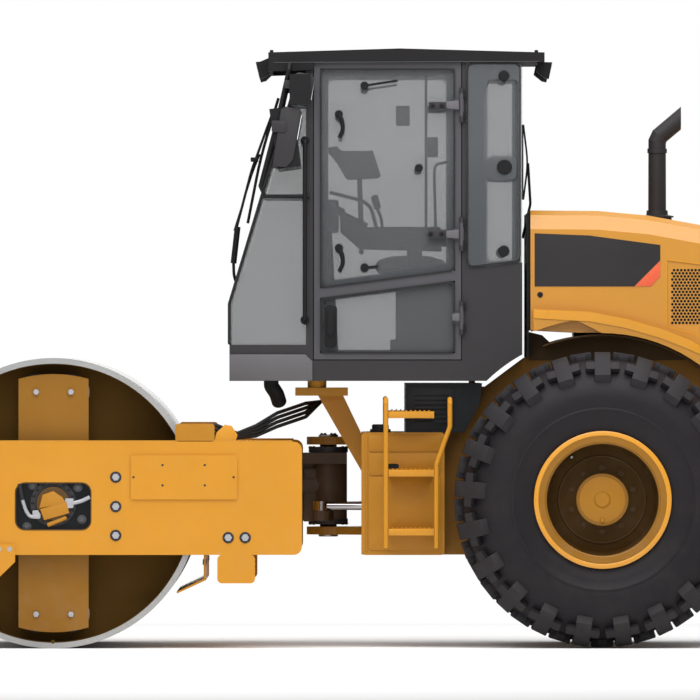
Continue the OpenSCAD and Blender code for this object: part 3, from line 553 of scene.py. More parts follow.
def rounded_path(points, turns, share=0.35):
    """The path with each inner corner replaced by a short curve."""
    if turns < 2 or len(points) < 3:
        return points
    result = [points[0]]
    for before, corner, after in zip(points, points[1:], points[2:]):
        reach = share * min((corner - before).length, (after - corner).length)
        start = corner + (before - corner).normalized() * reach
        end = corner + (after - corner).normalized() * reach
        for i in range(turns + 1):
            t = i / turns
            result.append(start * (1 - t) ** 2 + corner * 2 * t * (1 - t) + end * t ** 2)
    result.append(points[-1])
    return result


def round_rect(x0, x1, z0, z1, r, steps=6):
    """Points of a rectangle with rounded corners."""
    points = []
    for cx, cz, start in ((x1 - r, z1 - r, 0), (x0 + r, z1 - r, 90), (x0 + r, z0 + r, 180), (x1 - r, z0 + r, 270)):
        for i in range(steps + 1):
            angle = math.radians(start + 90 * i / steps)
            points.append((cx + r * math.cos(angle), cz + r * math.sin(angle)))
    return points


def round_corners(corners, r, steps=6):
    """Points of a convex outline with its corners rounded, in the same order."""
    points = []
    count = len(corners)
    for i, corner in enumerate(corners):
        here = Vector(corner)
        before = (Vector(corners[i - 1]) - here).normalized()
        after = (Vector(corners[(i + 1) % count]) - here).normalized()
        for k in range(steps + 1):
            t = k / steps
            point = (here + before * r) * (1 - t) ** 2 + here * 2 * t * (1 - t) + (here + after * r) * t ** 2
            points.append((point.x, point.y))
    return points


# Geometry Nodes trees

def node_tree(name, inputs):
    """A new Geometry Nodes tree with a geometry input and output and named values."""
    tree = bpy.data.node_groups.new(name, "GeometryNodeTree")
    tree.interface.new_socket(name="Geometry", in_out="INPUT", socket_type="NodeSocketGeometry")
    for label, kind, value in inputs:
        socket = tree.interface.new_socket(name=label, in_out="INPUT", socket_type=kind)
        if value is not None:
            socket.default_value = value
    tree.interface.new_socket(name="Geometry", in_out="OUTPUT", socket_type="NodeSocketGeometry")
    return tree, tree.nodes.new("NodeGroupInput"), tree.nodes.new("NodeGroupOutput")


def close_tree(tree, geometry, start, end):
    """Realizes the instances and sets the finish, at the tree's end."""
    real = tree.nodes.new("GeometryNodeRealizeInstances")
    paint = tree.nodes.new("GeometryNodeSetMaterial")
    tree.links.new(geometry, real.inputs["Geometry"])
    tree.links.new(real.outputs["Geometry"], paint.inputs["Geometry"])
    tree.links.new(start.outputs["Finish"], paint.inputs["Material"])
    tree.links.new(paint.outputs["Geometry"], end.inputs["Geometry"])


def ring_tree():
    """Turns copies of the input geometry about the Y axis through the origin."""
    tree, start, end = node_tree("Copies round an axle", [
        ("Count", "NodeSocketInt", 12), ("Phase", "NodeSocketFloat", 0.0), ("Finish", "NodeSocketMaterial", None)])
    points = tree.nodes.new("GeometryNodePoints")
    index = tree.nodes.new("GeometryNodeInputIndex")
    on_points = tree.nodes.new("GeometryNodeInstanceOnPoints")
    turn = tree.nodes.new("ShaderNodeCombineXYZ")
    tree.links.new(start.outputs["Count"], points.inputs["Count"])
    step = math_node(tree, "DIVIDE", 2 * math.pi, start.outputs["Count"])
    angle = math_node(tree, "ADD", math_node(tree, "MULTIPLY", index.outputs[0], step), start.outputs["Phase"])
    tree.links.new(angle, turn.inputs["Y"])
    tree.links.new(points.outputs[0], on_points.inputs["Points"])
    tree.links.new(start.outputs["Geometry"], on_points.inputs["Instance"])
    tree.links.new(turn.outputs[0], on_points.inputs["Rotation"])
    close_tree(tree, on_points.outputs[0], start, end)
    return tree


def bolt_tree():
    """Sets a washer and a six-sided head on every point of the input, along the point's stored direction."""
    tree, start, end = node_tree("Bolts on points", [
        ("Head radius", "NodeSocketFloat", 0.02), ("Head height", "NodeSocketFloat", 0.014),
        ("Washer radius", "NodeSocketFloat", 0.03), ("Finish", "NodeSocketMaterial", None)])
    washer = tree.nodes.new("GeometryNodeMeshCylinder")
    washer.inputs["Vertices"].default_value = 24
    washer.inputs["Depth"].default_value = 0.006
    head = tree.nodes.new("GeometryNodeMeshCone")
    head.inputs["Vertices"].default_value = 6
    join = tree.nodes.new("GeometryNodeJoinGeometry")
    lift = tree.nodes.new("GeometryNodeTransform")
    combine = tree.nodes.new("ShaderNodeCombineXYZ")
    tree.links.new(start.outputs["Washer radius"], washer.inputs["Radius"])
    tree.links.new(start.outputs["Head radius"], head.inputs["Radius Bottom"])
    tree.links.new(math_node(tree, "MULTIPLY", start.outputs["Head radius"], 0.88), head.inputs["Radius Top"])
    tree.links.new(start.outputs["Head height"], head.inputs["Depth"])
    combine.inputs["Z"].default_value = 0.003
    tree.links.new(head.outputs["Mesh"], lift.inputs["Geometry"])
    tree.links.new(combine.outputs[0], lift.inputs["Translation"])
    tree.links.new(washer.outputs["Mesh"], join.inputs[0])
    tree.links.new(lift.outputs[0], join.inputs[0])
    aim = tree.nodes.new("GeometryNodeInputNamedAttribute")
    aim.data_type = "FLOAT_VECTOR"
    aim.inputs["Name"].default_value = "aim"
    align = tree.nodes.new("FunctionNodeAlignRotationToVector")
    align.axis = "Z"
    tree.links.new(aim.outputs["Attribute"], align.inputs["Vector"])
    on_points = tree.nodes.new("GeometryNodeInstanceOnPoints")
    tree.links.new(start.outputs["Geometry"], on_points.inputs["Points"])
    tree.links.new(join.outputs[0], on_points.inputs["Instance"])
    tree.links.new(align.outputs[0], on_points.inputs["Rotation"])
    close_tree(tree, on_points.outputs[0], start, end)
    return tree


def hole_tree():
    """Sets a dark disc that faces along Y on every point of the input: painted shade that stands for a hole."""
    tree, start, end = node_tree("Holes on points", [
        ("Radius", "NodeSocketFloat", 0.006), ("Depth", "NodeSocketFloat", 0.002),
        ("Finish", "NodeSocketMaterial", None)])
    disc = tree.nodes.new("GeometryNodeMeshCylinder")
    disc.inputs["Vertices"].default_value = 10
    tree.links.new(start.outputs["Radius"], disc.inputs["Radius"])
    tree.links.new(start.outputs["Depth"], disc.inputs["Depth"])
    on_points = tree.nodes.new("GeometryNodeInstanceOnPoints")
    on_points.inputs["Rotation"].default_value = (math.pi / 2, 0, 0)
    tree.links.new(start.outputs["Geometry"], on_points.inputs["Points"])
    tree.links.new(disc.outputs["Mesh"], on_points.inputs["Instance"])
    close_tree(tree, on_points.outputs[0], start, end)
    return tree


TREES = {}


def grow(obj, tree, values):
    """Runs a tree on an object and leaves its result as a plain mesh."""
    modifier = obj.modifiers.new("Grow", "NODES")
    modifier.node_group = tree
    for item in tree.interface.items_tree:
        if item.in_out == "INPUT" and item.name in values:
            modifier[item.identifier] = values[item.name]
    graph = bpy.context.evaluated_depsgraph_get()
    mesh = bpy.data.meshes.new_from_object(obj.evaluated_get(graph))
    obj.modifiers.remove(modifier)
    obj.data = mesh
    return obj


def settle(obj, body, shift=(0, 0, 0), sharp=35, replaces=()):
    """Moves a grown mesh to its place, shades it and puts it on its body."""
    obj.data.transform(Matrix.Translation(Vector(shift)))
    smooth(obj.data, sharp)
    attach(obj, body)
    for node in replaces:
        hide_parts(node)
    return obj


def point_cloud(name, places):
    """An object of loose points."""
    mesh = bpy.data.meshes.new(name)
    mesh.from_pydata(places, [], [])
    obj = bpy.data.objects.new(name, mesh)
    bpy.context.scene.collection.objects.link(obj)
    return obj


def bolts(name, body, places, settings, finish="steel", scale=1.0, washer=1.0):
    """Bolts at (point, direction) places, grown by the bolt tree."""
    mesh = bpy.data.meshes.new(name)
    mesh.from_pydata([tuple(point) for point, _ in places], [], [])
    attribute = mesh.attributes.new("aim", "FLOAT_VECTOR", "POINT")
    attribute.data.foreach_set("vector", [c for _, aim in places for c in aim])
    obj = bpy.data.objects.new(name, mesh)
    bpy.context.scene.collection.objects.link(obj)
    grow(obj, TREES["bolts"], {"Head radius": settings.head * scale, "Head height": settings.height * scale,
                               "Washer radius": settings.washer * scale * washer, "Finish": MATERIALS[finish]})
    return settle(obj, body)


def around(name, body, piece, count, phase, centre, finish, replaces=(), sharp=35):
    """Copies of a piece drawn about the origin, turned about Y and set on a centre."""
    bmesh.ops.recalc_face_normals(piece.bm, faces=piece.bm.faces)
    mesh = bpy.data.meshes.new(name)
    piece.bm.to_mesh(mesh)
    piece.bm.free()
    obj = bpy.data.objects.new(name, mesh)
    bpy.context.scene.collection.objects.link(obj)
    grow(obj, TREES["ring"], {"Count": count, "Phase": phase, "Finish": MATERIALS[finish]})
    return settle(obj, body, centre, sharp, replaces)


def repaint(finish, *names):
    """Gives carried-over solids a finish."""
    for name in names:
        data = NODES[name].data
        data.materials.clear()
        data.materials.append(MATERIALS[finish])


# Pieces of the machine

def wheel_place(side):
    """Centre of a wheel and the direction of its outer face along Y."""
    sign = SIDES[side]
    low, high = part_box("tyre_" + side)
    return Vector((HUB.x, (low.y + high.y) / 2, HUB.z)), sign


def make_tyres(tyre):
    """Carcass with rows of tread lugs on both wheels."""
    base = TYRE_R - tyre.lug_depth
    half = TYRE_HALF
    shell = [(0.3303, 0.245), (0.345, 0.252), (0.372, 0.258), (0.400, 0.268), (0.430, half - 0.012),
             (0.470, half - 0.006), (0.474, half - 0.002), (0.484, half - 0.002), (0.488, half - 0.005),
             (0.500, half - 0.002), (0.540, half), (0.580, half - 0.008), (0.620, half - 0.028),
             (0.662, half - 0.060), (0.700, half - 0.100), (0.728, half - 0.140), (base, half - 0.180)]
    profile = [(r, -y) for r, y in shell] + [(r, y) for r, y in reversed(shell)]
    for side in SIDES:
        centre, _ = wheel_place(side)
        Piece(f"tyre_carcass_{side}", f"wheel_{side}", "tyre").lathe(profile, centre, steps=144).done(
            40, replaces=(f"tyre_{side}",))
        for row, end in (("near", -1), ("far", 1)):
            lug = Piece("lug", None, "lug")
            block = [(0.118, base - 0.020), (0.118, TYRE_R - 0.003), (half - 0.140, TYRE_R - 0.003),
                     (half - 0.096, TYRE_R - 0.030), (half - 0.004, 0.660), (half - 0.030, 0.618),
                     (half - 0.090, 0.640), (half - 0.150, base - 0.020)]
            lug.prism([(end * y, z) for y, z in block], -0.043, 0.043, 0.006, "yz")
            arms = [(half - 0.075, 0.728), (half - 0.040, 0.692), (half - 0.080, 0.670), (half - 0.115, 0.705)]
            lug.prism([(end * y, z) for y, z in arms], -0.090, 0.090, 0.005, "yz")
            around(f"tread_{row}_{side}", f"wheel_{side}", lug, tyre.lugs, 0.0, centre, "lug")
        bar = Piece("lug", None, "lug")
        bar.block((-0.058, -0.088, base - 0.012), (0.058, 0.088, TYRE_R - 0.002), 0.007)
        bar.block((-0.030, -0.104, base - 0.012), (0.030, 0.104, TYRE_R - 0.012), 0.007)
        around(f"tread_middle_{side}", f"wheel_{side}", bar, tyre.lugs, math.pi / tyre.lugs, centre, "lug")


def make_rims(settings):
    """Trim, bolts, hub cap and valve of both wheels."""
    for side in SIDES:
        centre, sign = wheel_place(side)
        body = f"wheel_{side}"

        def out(y):
            return sign * y
        # The outer ring is in the lighter paint, a painted highlight; the lip, the dish with its bolts and the hub cap
        # are in darkened paint, painted shade
        rings = Piece(f"rim_trim_{side}", body, "highlight_paint")
        rings.lathe([(0.338, out(0.262)), (0.338, out(0.2735)), (0.342, out(0.277)), (0.358, out(0.277)),
                     (0.3635, out(0.2735)), (0.3635, out(0.262))], centre, steps=96)
        rings.done()
        inner = Piece(f"rim_lip_{side}", body, "shaded")
        inner.lathe([(0.297, out(0.240)), (0.306, out(0.2745)), (0.3375, out(0.2745)), (0.3375, out(0.262)),
                     (0.312, out(0.262))], centre, steps=96)
        inner.done()
        dish = Piece(f"rim_dish_{side}", body, "deep_shade_paint")
        dish.lathe([(0.140, out(0.062)), (0.178, out(0.043)), (0.222, out(0.0305)), (0.225, out(0.036)),
                    (0.232, out(0.036)), (0.235, out(0.028)), (0.279, out(0.0145)), (0.2945, out(0.0605)),
                    (0.2945, out(0.235)), (0.2965, out(0.235)), (0.2965, out(0.012)), (0.140, out(0.012))],
                   centre, steps=96)
        dish.done(30)
        cap = Piece(f"hub_cap_{side}", body, "half_shaded")
        cap.lathe([(0.0005, out(0.060)), (0.0005, out(0.128)), (0.036, out(0.128)), (0.042, out(0.124)),
                   (0.045, out(0.121)), (0.118, out(0.121)), (0.131, out(0.117)), (0.1385, out(0.108)),
                   (0.1385, out(0.060))], centre, steps=72)
        cap.rod(centre + Vector((0, out(0.118), -0.109)), centre + Vector((0, out(0.130), -0.109)), 0.013, 6, 0.002)
        cap.done(30)
        valve = Piece(f"valve_{side}", body, "steel")
        place = centre + Vector((-0.162, 0, 0.224))
        valve.rod(place + Vector((0, out(0.02), 0)), place + Vector((0, out(0.075), 0)), 0.006, 12, 0.001)
        valve.rod(place + Vector((0, out(0.070), 0)), place + Vector((0, out(0.088), 0)), 0.008, 12, 0.002)
        valve.done()
        places = []
        for i in range(10):
            angle = math.pi / 2 + 2 * math.pi * i / 10
            places.append((centre + Vector((0.167 * math.cos(angle), out(0.049), 0.167 * math.sin(angle))),
                           (0, sign, 0)))
        bolts(f"wheel_bolts_{side}", body, places, settings, "deep_shade_paint", 0.62)


def make_drum(settings):
    """Drum heads in painted shade, mount bolts and the ring of hub bolts."""
    half = (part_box("drum_shell")[1].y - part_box("drum_shell")[0].y) / 2
    head = half - 0.187
    bore = DRUM.z - 0.030
    face = half - 0.067 + 0.030
    mounts = [(dx, dz) for dx in (-0.092, 0.092) for dz in (-0.587, 0.587)]
    for side, sign in SIDES.items():
        # A thin lining over each head and the bore, darkened: painted shade inside the drum
        lining = Piece(f"drum_head_painted_shade_{side}", "drum", "drum_head_shade")
        lining.lathe([(0.142, sign * head), (0.142, sign * (head + 0.003)), (bore - 0.004, sign * (head + 0.003)),
                      (bore - 0.004, sign * (half - 0.012)), (bore - 0.0005, sign * (half - 0.012)),
                      (bore - 0.0005, sign * head)], DRUM, steps=96)
        lining.rod((DRUM.x - 0.003, sign * (half - 0.040), 0.034), (DRUM.x - 0.003, sign * (half + 0.0), 0.034),
                   0.011, 12, 0.002)
        lining.done(30)
        cups = Piece(f"mount_cups_{side}", "drum", "steel")
        for dx, dz in mounts:
            at = Vector((DRUM.x + dx, 0, DRUM.z + dz))
            cups.rod(at + Vector((0, sign * (head + 0.002), 0)), at + Vector((0, sign * (head + 0.012), 0)), 0.098, 32,
                     0.002)
        cups.done()
        places = [(Vector((DRUM.x + dx, sign * (face + 0.001), DRUM.z + dz)), (0, sign, 0)) for dx, dz in mounts]
        bolts(f"mount_bolts_{side}", "drum", places, settings, "steel_grey", 0.80, 0.5)
        ring = []
        for i in range(8):
            angle = math.pi * (i + 0.5) / 4
            ring.append((Vector((DRUM.x + 0.088 * math.cos(angle), sign * (face + 0.009),
                                 DRUM.z + 0.088 * math.sin(angle))), (0, sign, 0)))
        bolts(f"drum_hub_bolts_{side}", "drum", ring, settings, "steel", 0.45)


def make_side_plates(settings):
    """Flanges, ringed bolts and the screwed cover of the side plates."""
    low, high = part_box("side_plates")
    face_y = PLATE_Y - 0.010
    columns = [(x, z) for x in (-1.627, -2.286) for z in (0.905, 0.750, 0.598)]
    rows = [(-1.0335, 0.586), (-0.944, 0.586)]
    screws = [(-1.380, 0.969), (-1.157, 0.969), (-1.533, 0.905), (-1.005, 0.905), (-1.380, 0.862),
              (-1.157, 0.862)]
    for side, sign in SIDES.items():
        face = sign * face_y
        rings = Piece(f"side_bolt_rings_{side}", "front", "cab")
        for x, z in columns + rows:
            rings.rod((x, face - sign * 0.001, z), (x, face + sign * 0.004, z), 0.030, 28, 0.001)
        rings.done()
        places = [(Vector((x, face - sign * 0.0073, z)), (0, sign, 0)) for x, z in columns + rows]
        bolts(f"side_bolts_{side}", "front", places, settings, "steel_grey", 1.0, 0.5)
        places = [(Vector((x, sign * (PLATE_Y - 0.0078), z)), (0, sign, 0)) for x, z in screws]
        bolts(f"cover_screws_{side}", "front", places, settings, "cab", 0.36)
        edge = Piece(f"side_plate_edges_{side}", "front", "paint")
        inner = sign * (PLATE_Y - 0.040)
        edge.prism(round_rect(low.x + 0.05, high.x - 0.05, 1.0915, 1.0985, 0.003, 2), inner, face, 0.002)
        edge.done()
        brackets = [(Vector((x, sign * (PLATE_Y - 0.0126), 0.526)), (0, sign, 0)) for x in (-2.187, -2.243)]
        bolts(f"scraper_bolts_{side}", "front", brackets, settings, "steel_grey", 0.72, 0.6)
        strip = Piece(f"scraper_clamps_{side}", "front", "liner")
        y0, y1 = sorted((sign * 0.35, sign * 0.985))
        strip.block((-1.170, y0, 0.440), (-1.150, y1, 0.468), 0.003)
        strip.done()
        # The window's edge is in the darkened paint: painted shade in the opening
        guard = Piece(f"window_edge_{side}", "front", "deep_shade_paint")
        outer = round_rect(-2.159, -1.755, 0.624, 0.878, 0.052)
        opening = round_rect(-2.153, -1.761, 0.630, 0.872, 0.047)
        guard.frame_ring(outer, opening, sign * (PLATE_Y - 0.041), sign * (PLATE_Y - 0.0085))
        guard.done()


def make_motors(settings):
    """Drum motor heads behind the windows: slotted ring, yellow head and block, bolts, fittings and pipes."""
    for side, sign in SIDES.items():
        back = PLATE_Y - 0.040

        def at(x, z, lift):
            return Vector((x, sign * (back + lift), z))

        def plate(piece, outline, lift0, lift1, bevel=0.003):
            piece.prism(outline, sign * (back + lift0), sign * (back + lift1), bevel)
        # A near-black plate fills the window behind the motor: painted shade
        behind = Piece(f"motor_window_shade_{side}", "front", "screen")
        plate(behind, round_rect(-2.158, -1.756, 0.625, 0.877, 0.05), 0.0005, 0.0015, 0)
        behind.done()
        ring = Piece(f"motor_ring_{side}", "front", "cab")
        ring.lathe([(0.090, sign * (back + 0.0012)), (0.090, sign * (back + 0.014)), (0.120, sign * (back + 0.014)),
                    (0.122, sign * (back + 0.012)), (0.122, sign * (back + 0.0012))], (DRUM.x, 0, DRUM.z), steps=72)
        ring.done(30)
        # The ring's slots are near-black blocks: painted shade in the slots
        slots = Piece("slot", None, "screen")
        y0, y1 = sorted((sign * (back + 0.010), sign * (back + 0.0146)))
        slots.block((0.100, y0, -0.007), (0.117, y1, 0.007), 0.001)
        around(f"motor_slots_{side}", "front", slots, 18, 0.0, Vector((DRUM.x, 0, DRUM.z)), "screen")
        # The head is in the half-dark paint: painted half shade behind the side plate
        head = Piece(f"motor_head_{side}", "front", "half_shaded")
        plate(head, [(-2.031, 0.741), (-2.013, 0.812), (-1.957, 0.832), (-1.909, 0.800), (-1.890, 0.767)], 0.028, 0.036)
        plate(head, [(-2.026, 0.737), (-1.887, 0.774), (-1.872, 0.715), (-2.005, 0.678)], 0.028, 0.0385)
        head.pipe([at(-1.987, 0.652, 0.022), at(-1.887, 0.693, 0.022)], 0.012, 12, 1)
        head.done(30)
        fittings = Piece(f"motor_fittings_{side}", "front", "steel_grey")
        plate(fittings, round_rect(-2.066, -2.024, 0.686, 0.730, 0.006), 0.010, 0.030)
        plate(fittings, round_rect(-1.894, -1.850, 0.742, 0.793, 0.006), 0.010, 0.034)
        fittings.pipe([at(-2.035, 0.6965, 0.022), at(-2.080, 0.6965, 0.022), at(-2.102, 0.730, 0.022),
                       at(-2.1205, 0.789, 0.022)], 0.010, 12, 5)
        fittings.pipe([at(-1.857, 0.767, 0.024), at(-1.809, 0.778, 0.024), at(-1.764, 0.800, 0.024)], 0.011, 12, 5)
        fittings.done()
        hose = Piece(f"motor_hose_{side}", "front", "rubber")
        hose.pipe([at(-2.1195, 0.785, 0.022), at(-2.128, 0.830, 0.022), at(-2.136, 0.870, 0.022)], 0.012, 12, 5)
        hose.done()
        places = [(at(x, z, 0.0045), (0, sign, 0))
                  for x, z in ((-1.827, 0.8505), (-1.806, 0.682), (-2.096, 0.6445), (-2.065, 0.862))]
        bolts(f"motor_bolts_{side}", "front", places, settings, "liner", 0.76)


def make_front_frame(settings):
    """Step pads, hose clamps and the bolted rib of the cross beams."""
    pads = Piece("beam_step_pads", "front", "rubber")
    for y0, y1 in ((-0.98, -0.62), (0.62, 0.98)):
        pads.block((-1.07, y0, 1.079), (-0.86, y1, 1.086), 0.002)
        for i in range(9):
            x = -1.058 + 0.0235 * i
            pads.block((x, y0 + 0.01, 1.085), (x + 0.010, y1 - 0.01, 1.091), 0.002)
    pads.done()
    clamps = Piece("hose_clamps", "front", "paint")
    clamps.prism([(-1.108, 1.0935), (-0.995, 1.0935), (-0.984, 1.128), (-1.016, 1.176), (-1.052, 1.182),
                  (-1.096, 1.140)], -1.1365, -1.1115, 0.004)
    clamps.done()
    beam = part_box("front_beam")
    plate = Piece("front_beam_rib", "front", "paint")
    plate.block((beam[0].x - 0.006, -0.9, 0.66), (beam[0].x + 0.001, 0.9, 0.93), 0.004)
    plate.done()
    places = [(Vector((beam[0].x - 0.005, y, z)), (-1, 0, 0)) for y in (-0.85, -0.3, 0.3, 0.85) for z in (0.69, 0.90)]
    bolts("front_beam_bolts", "front", places, settings, "steel", 0.8)


def make_hitch(settings):
    """Pin caps, dark bolt rings, ribs and ports of the hitch and its cylinders."""
    caps = Piece("hitch_pin_caps", "hitch", "steel")
    for z, step in ((1.1125, 0.012), (0.5915, -0.012)):
        caps.rod((HITCH_X, 0, z), (HITCH_X, 0, z + step), 0.052, 32, 0.003)
    caps.done()
    rings = Piece("hitch_bolt_rings", "hitch", "cab")
    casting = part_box("hitch_casting")
    for z in (1.030, 0.651):
        rings.lathe([(0.0915, z), (0.0915, z + 0.024), (0.105, z + 0.024), (0.105, z)], (HITCH_X, 0, 0), "z", 48)
    rings.done(30)
    places = []
    for i in range(10):
        angle = 2 * math.pi * i / 10
        for z, aim in ((1.0545, 1), (0.6505, -1)):
            places.append((Vector((HITCH_X + 0.096 * math.cos(angle), 0.096 * math.sin(angle), z)), (0, 0, aim)))
    bolts("hitch_ring_bolts", "hitch", places, settings, "cab", 0.36)
    places = []
    for i in range(6):
        angle = 2 * math.pi * i / 6
        places.append((Vector((HITCH_X + 0.035 * math.cos(angle), 0.035 * math.sin(angle), 1.1255)), (0, 0, 1)))
    # The cap bolts are in the darkened paint: painted shade under the cab
    bolts("hitch_cap_bolts", "hitch", places, settings, "deep_shade_paint", 0.3)
    ribs = Piece("hitch_ribs", "hitch", "casting")
    for sign in (-1, 1):
        ribs.block((casting[0].x + 0.20, min(sign * 0.059, sign * 0.075), 0.66),
                   (HITCH_X - 0.06, max(sign * 0.059, sign * 0.075), 0.945), 0.005)
    ribs.done()
    for side in SIDES:
        low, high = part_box("steer_barrel_" + side)
        ports = Piece(f"cylinder_ports_{side}", f"steer_barrel_{side}", "steel")
        y = (low.y + high.y) / 2
        for share in (0.25, 0.85):
            x = low.x + share * (high.x - low.x)
            shift = (share - 0.5) * (high.y - low.y - 0.10) * SIDES[side]
            ports.rod((x, y + shift, high.z - 0.004), (x, y + shift, high.z + 0.022), 0.012, 6, 0.002)
        ports.done()


def make_rear_frame(settings):
    """Filler, panels, inner fenders in painted shade and duct of the rear frame and its tanks."""
    low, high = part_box("side_tanks")
    box_low, box_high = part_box("battery_boxes")
    for side, sign in SIDES.items():
        face = sign * high.y
        # The panels are in the half-dark paint: painted half shade under the cab
        panel = Piece(f"tank_panel_{side}", "rear", "half_shaded")
        panel.prism(round_rect(low.x + 0.022, low.x + 0.030, low.z + 0.02, high.z - 0.01, 0.003), face - sign * 0.002,
                    face + sign * 0.005, 0.001)
        for z0, z1 in ((0.515, 0.905), (0.913, 1.030), (1.038, 1.125)):
            panel.prism(round_rect(low.x + 0.038, high.x - 0.02, z0, z1, 0.012), face - sign * 0.002,
                        face + sign * 0.005, 0.003)
        panel.done()
        slot = Piece(f"tank_slot_{side}", "rear", "screen")
        slot.prism(round_rect(-0.190, -0.132, 0.947, 0.973, 0.010), face + sign * 0.004, face + sign * 0.0062, 0)
        slot.done()
        block = Piece(f"tank_drain_{side}", "rear", "plastic")
        block.block((0.060, *sorted((face - sign * 0.10, face - sign * 0.02))[:1], 0.4955),
                    (0.105, sorted((face - sign * 0.10, face - sign * 0.02))[1], 0.540), 0.004)
        block.done()
        lid = Piece(f"battery_lid_{side}", "rear", "plastic")
        lid.prism(round_rect(box_low.x + 0.02, box_low.x + 0.26, box_low.z + 0.02, box_high.z - 0.02, 0.015),
                  face - sign * 0.001, face + sign * 0.006, 0.003)
        for i in range(7):
            z = box_low.z + 0.05 + 0.024 * i
            lid.block((box_low.x + 0.05, min(face, face + sign * 0.010), z),
                      (box_low.x + 0.23, max(face, face + sign * 0.010), z + 0.012), 0.002)
        lid.done()
        steps = Piece(f"ladder_grips_{side}", "rear", "paint")
        rung_low, rung_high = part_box("ladders")
        for z in (0.612, 0.924, 1.233):
            edge = sign * (rung_high.y - 0.003)
            steps.prism(round_rect(rung_low.x + 0.028, rung_high.x - 0.104, z - 0.017, z + 0.017, 0.015), edge,
                        edge + sign * 0.003, 0.001)
            for i in range(9):
                x = rung_low.x + 0.045 + 0.024 * i
                y0, y1 = sorted((sign * (rung_high.y - 0.115), sign * (rung_high.y - 0.012)))
                steps.block((x, y0, z + 0.017), (x + 0.008, y1, z + 0.024), 0.001)
        steps.done()
        # Dark plates of the arch and the wall under the hood's lip: painted shade
        fender = Piece(f"inner_fender_shade_{side}", "rear", "deep_shade_paint")
        arc = [(HUB.x + r * math.cos(math.radians(a)), HUB.z + r * math.sin(math.radians(a)))
               for r, angles in ((0.874, range(111, 41, -3)), (0.866, range(42, 112, 3))) for a in angles]
        fender.prism(arc, *sorted((sign * 0.502, sign * 0.690)))
        wall = [(HUB.x + 0.872 * math.cos(math.radians(a)), HUB.z + 0.872 * math.sin(math.radians(a)))
                for a in range(57, 112, 3)]
        fender.prism([(1.40, 1.522)] + wall[:-1] + [(0.63, 1.655), (0.561, 1.672), (0.561, 1.522)], *sorted((sign * 0.501, sign * 0.507)))
        fender.done()
    filler = Piece("tank_filler_cap", "rear", "plastic")
    at = Vector((low.x + 0.10, -0.60, high.z - 0.002))
    filler.rod(at, at + Vector((0, 0, 0.045)), 0.045, 24, 0.006)
    filler.rod(at, at + Vector((0, 0, 0.020)), 0.055, 24, 0.003)
    filler.done()
    duct = Piece("cab_duct", "rear", "rubber")
    duct.pipe([(-0.810, -0.42, 1.4125), (-0.810, -0.42, 1.385), (-0.782, -0.42, 1.345), (-0.768, -0.36, 1.300)],
              0.040, 20, 5)
    duct.done()
    weight_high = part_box("counterweight")[1]
    seam = Piece("counterweight_trim", "rear", "plastic")
    lamps = Piece("tail_lamps", "rear", "stripe")
    for sign in (-1, 1):
        y0, y1 = sorted((sign * 0.44, sign * 0.56))
        seam.block((weight_high.x - 0.004, y0, 1.20), (weight_high.x + 0.0005, y1, 1.27), 0.001)
        lamps.block((weight_high.x - 0.004, y0 + 0.015, 1.21), (weight_high.x + 0.001, y1 - 0.015, 1.26), 0.0003)
    seam.done()
    lamps.done()
    places = [(Vector((weight_high.x - 0.30, sign * 0.622, z)), (0, sign, 0)) for sign in (-1, 1) for z in (0.85, 1.15)]
    bolts("counterweight_bolts", "rear", places, settings, "steel", 1.0)


def door_edges(side):
    """Side, body and outer face of a door."""
    sign = SIDES[side]
    low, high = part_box("door_" + side)
    return sign, f"door_{side}", sign * CAB_Y, low, high


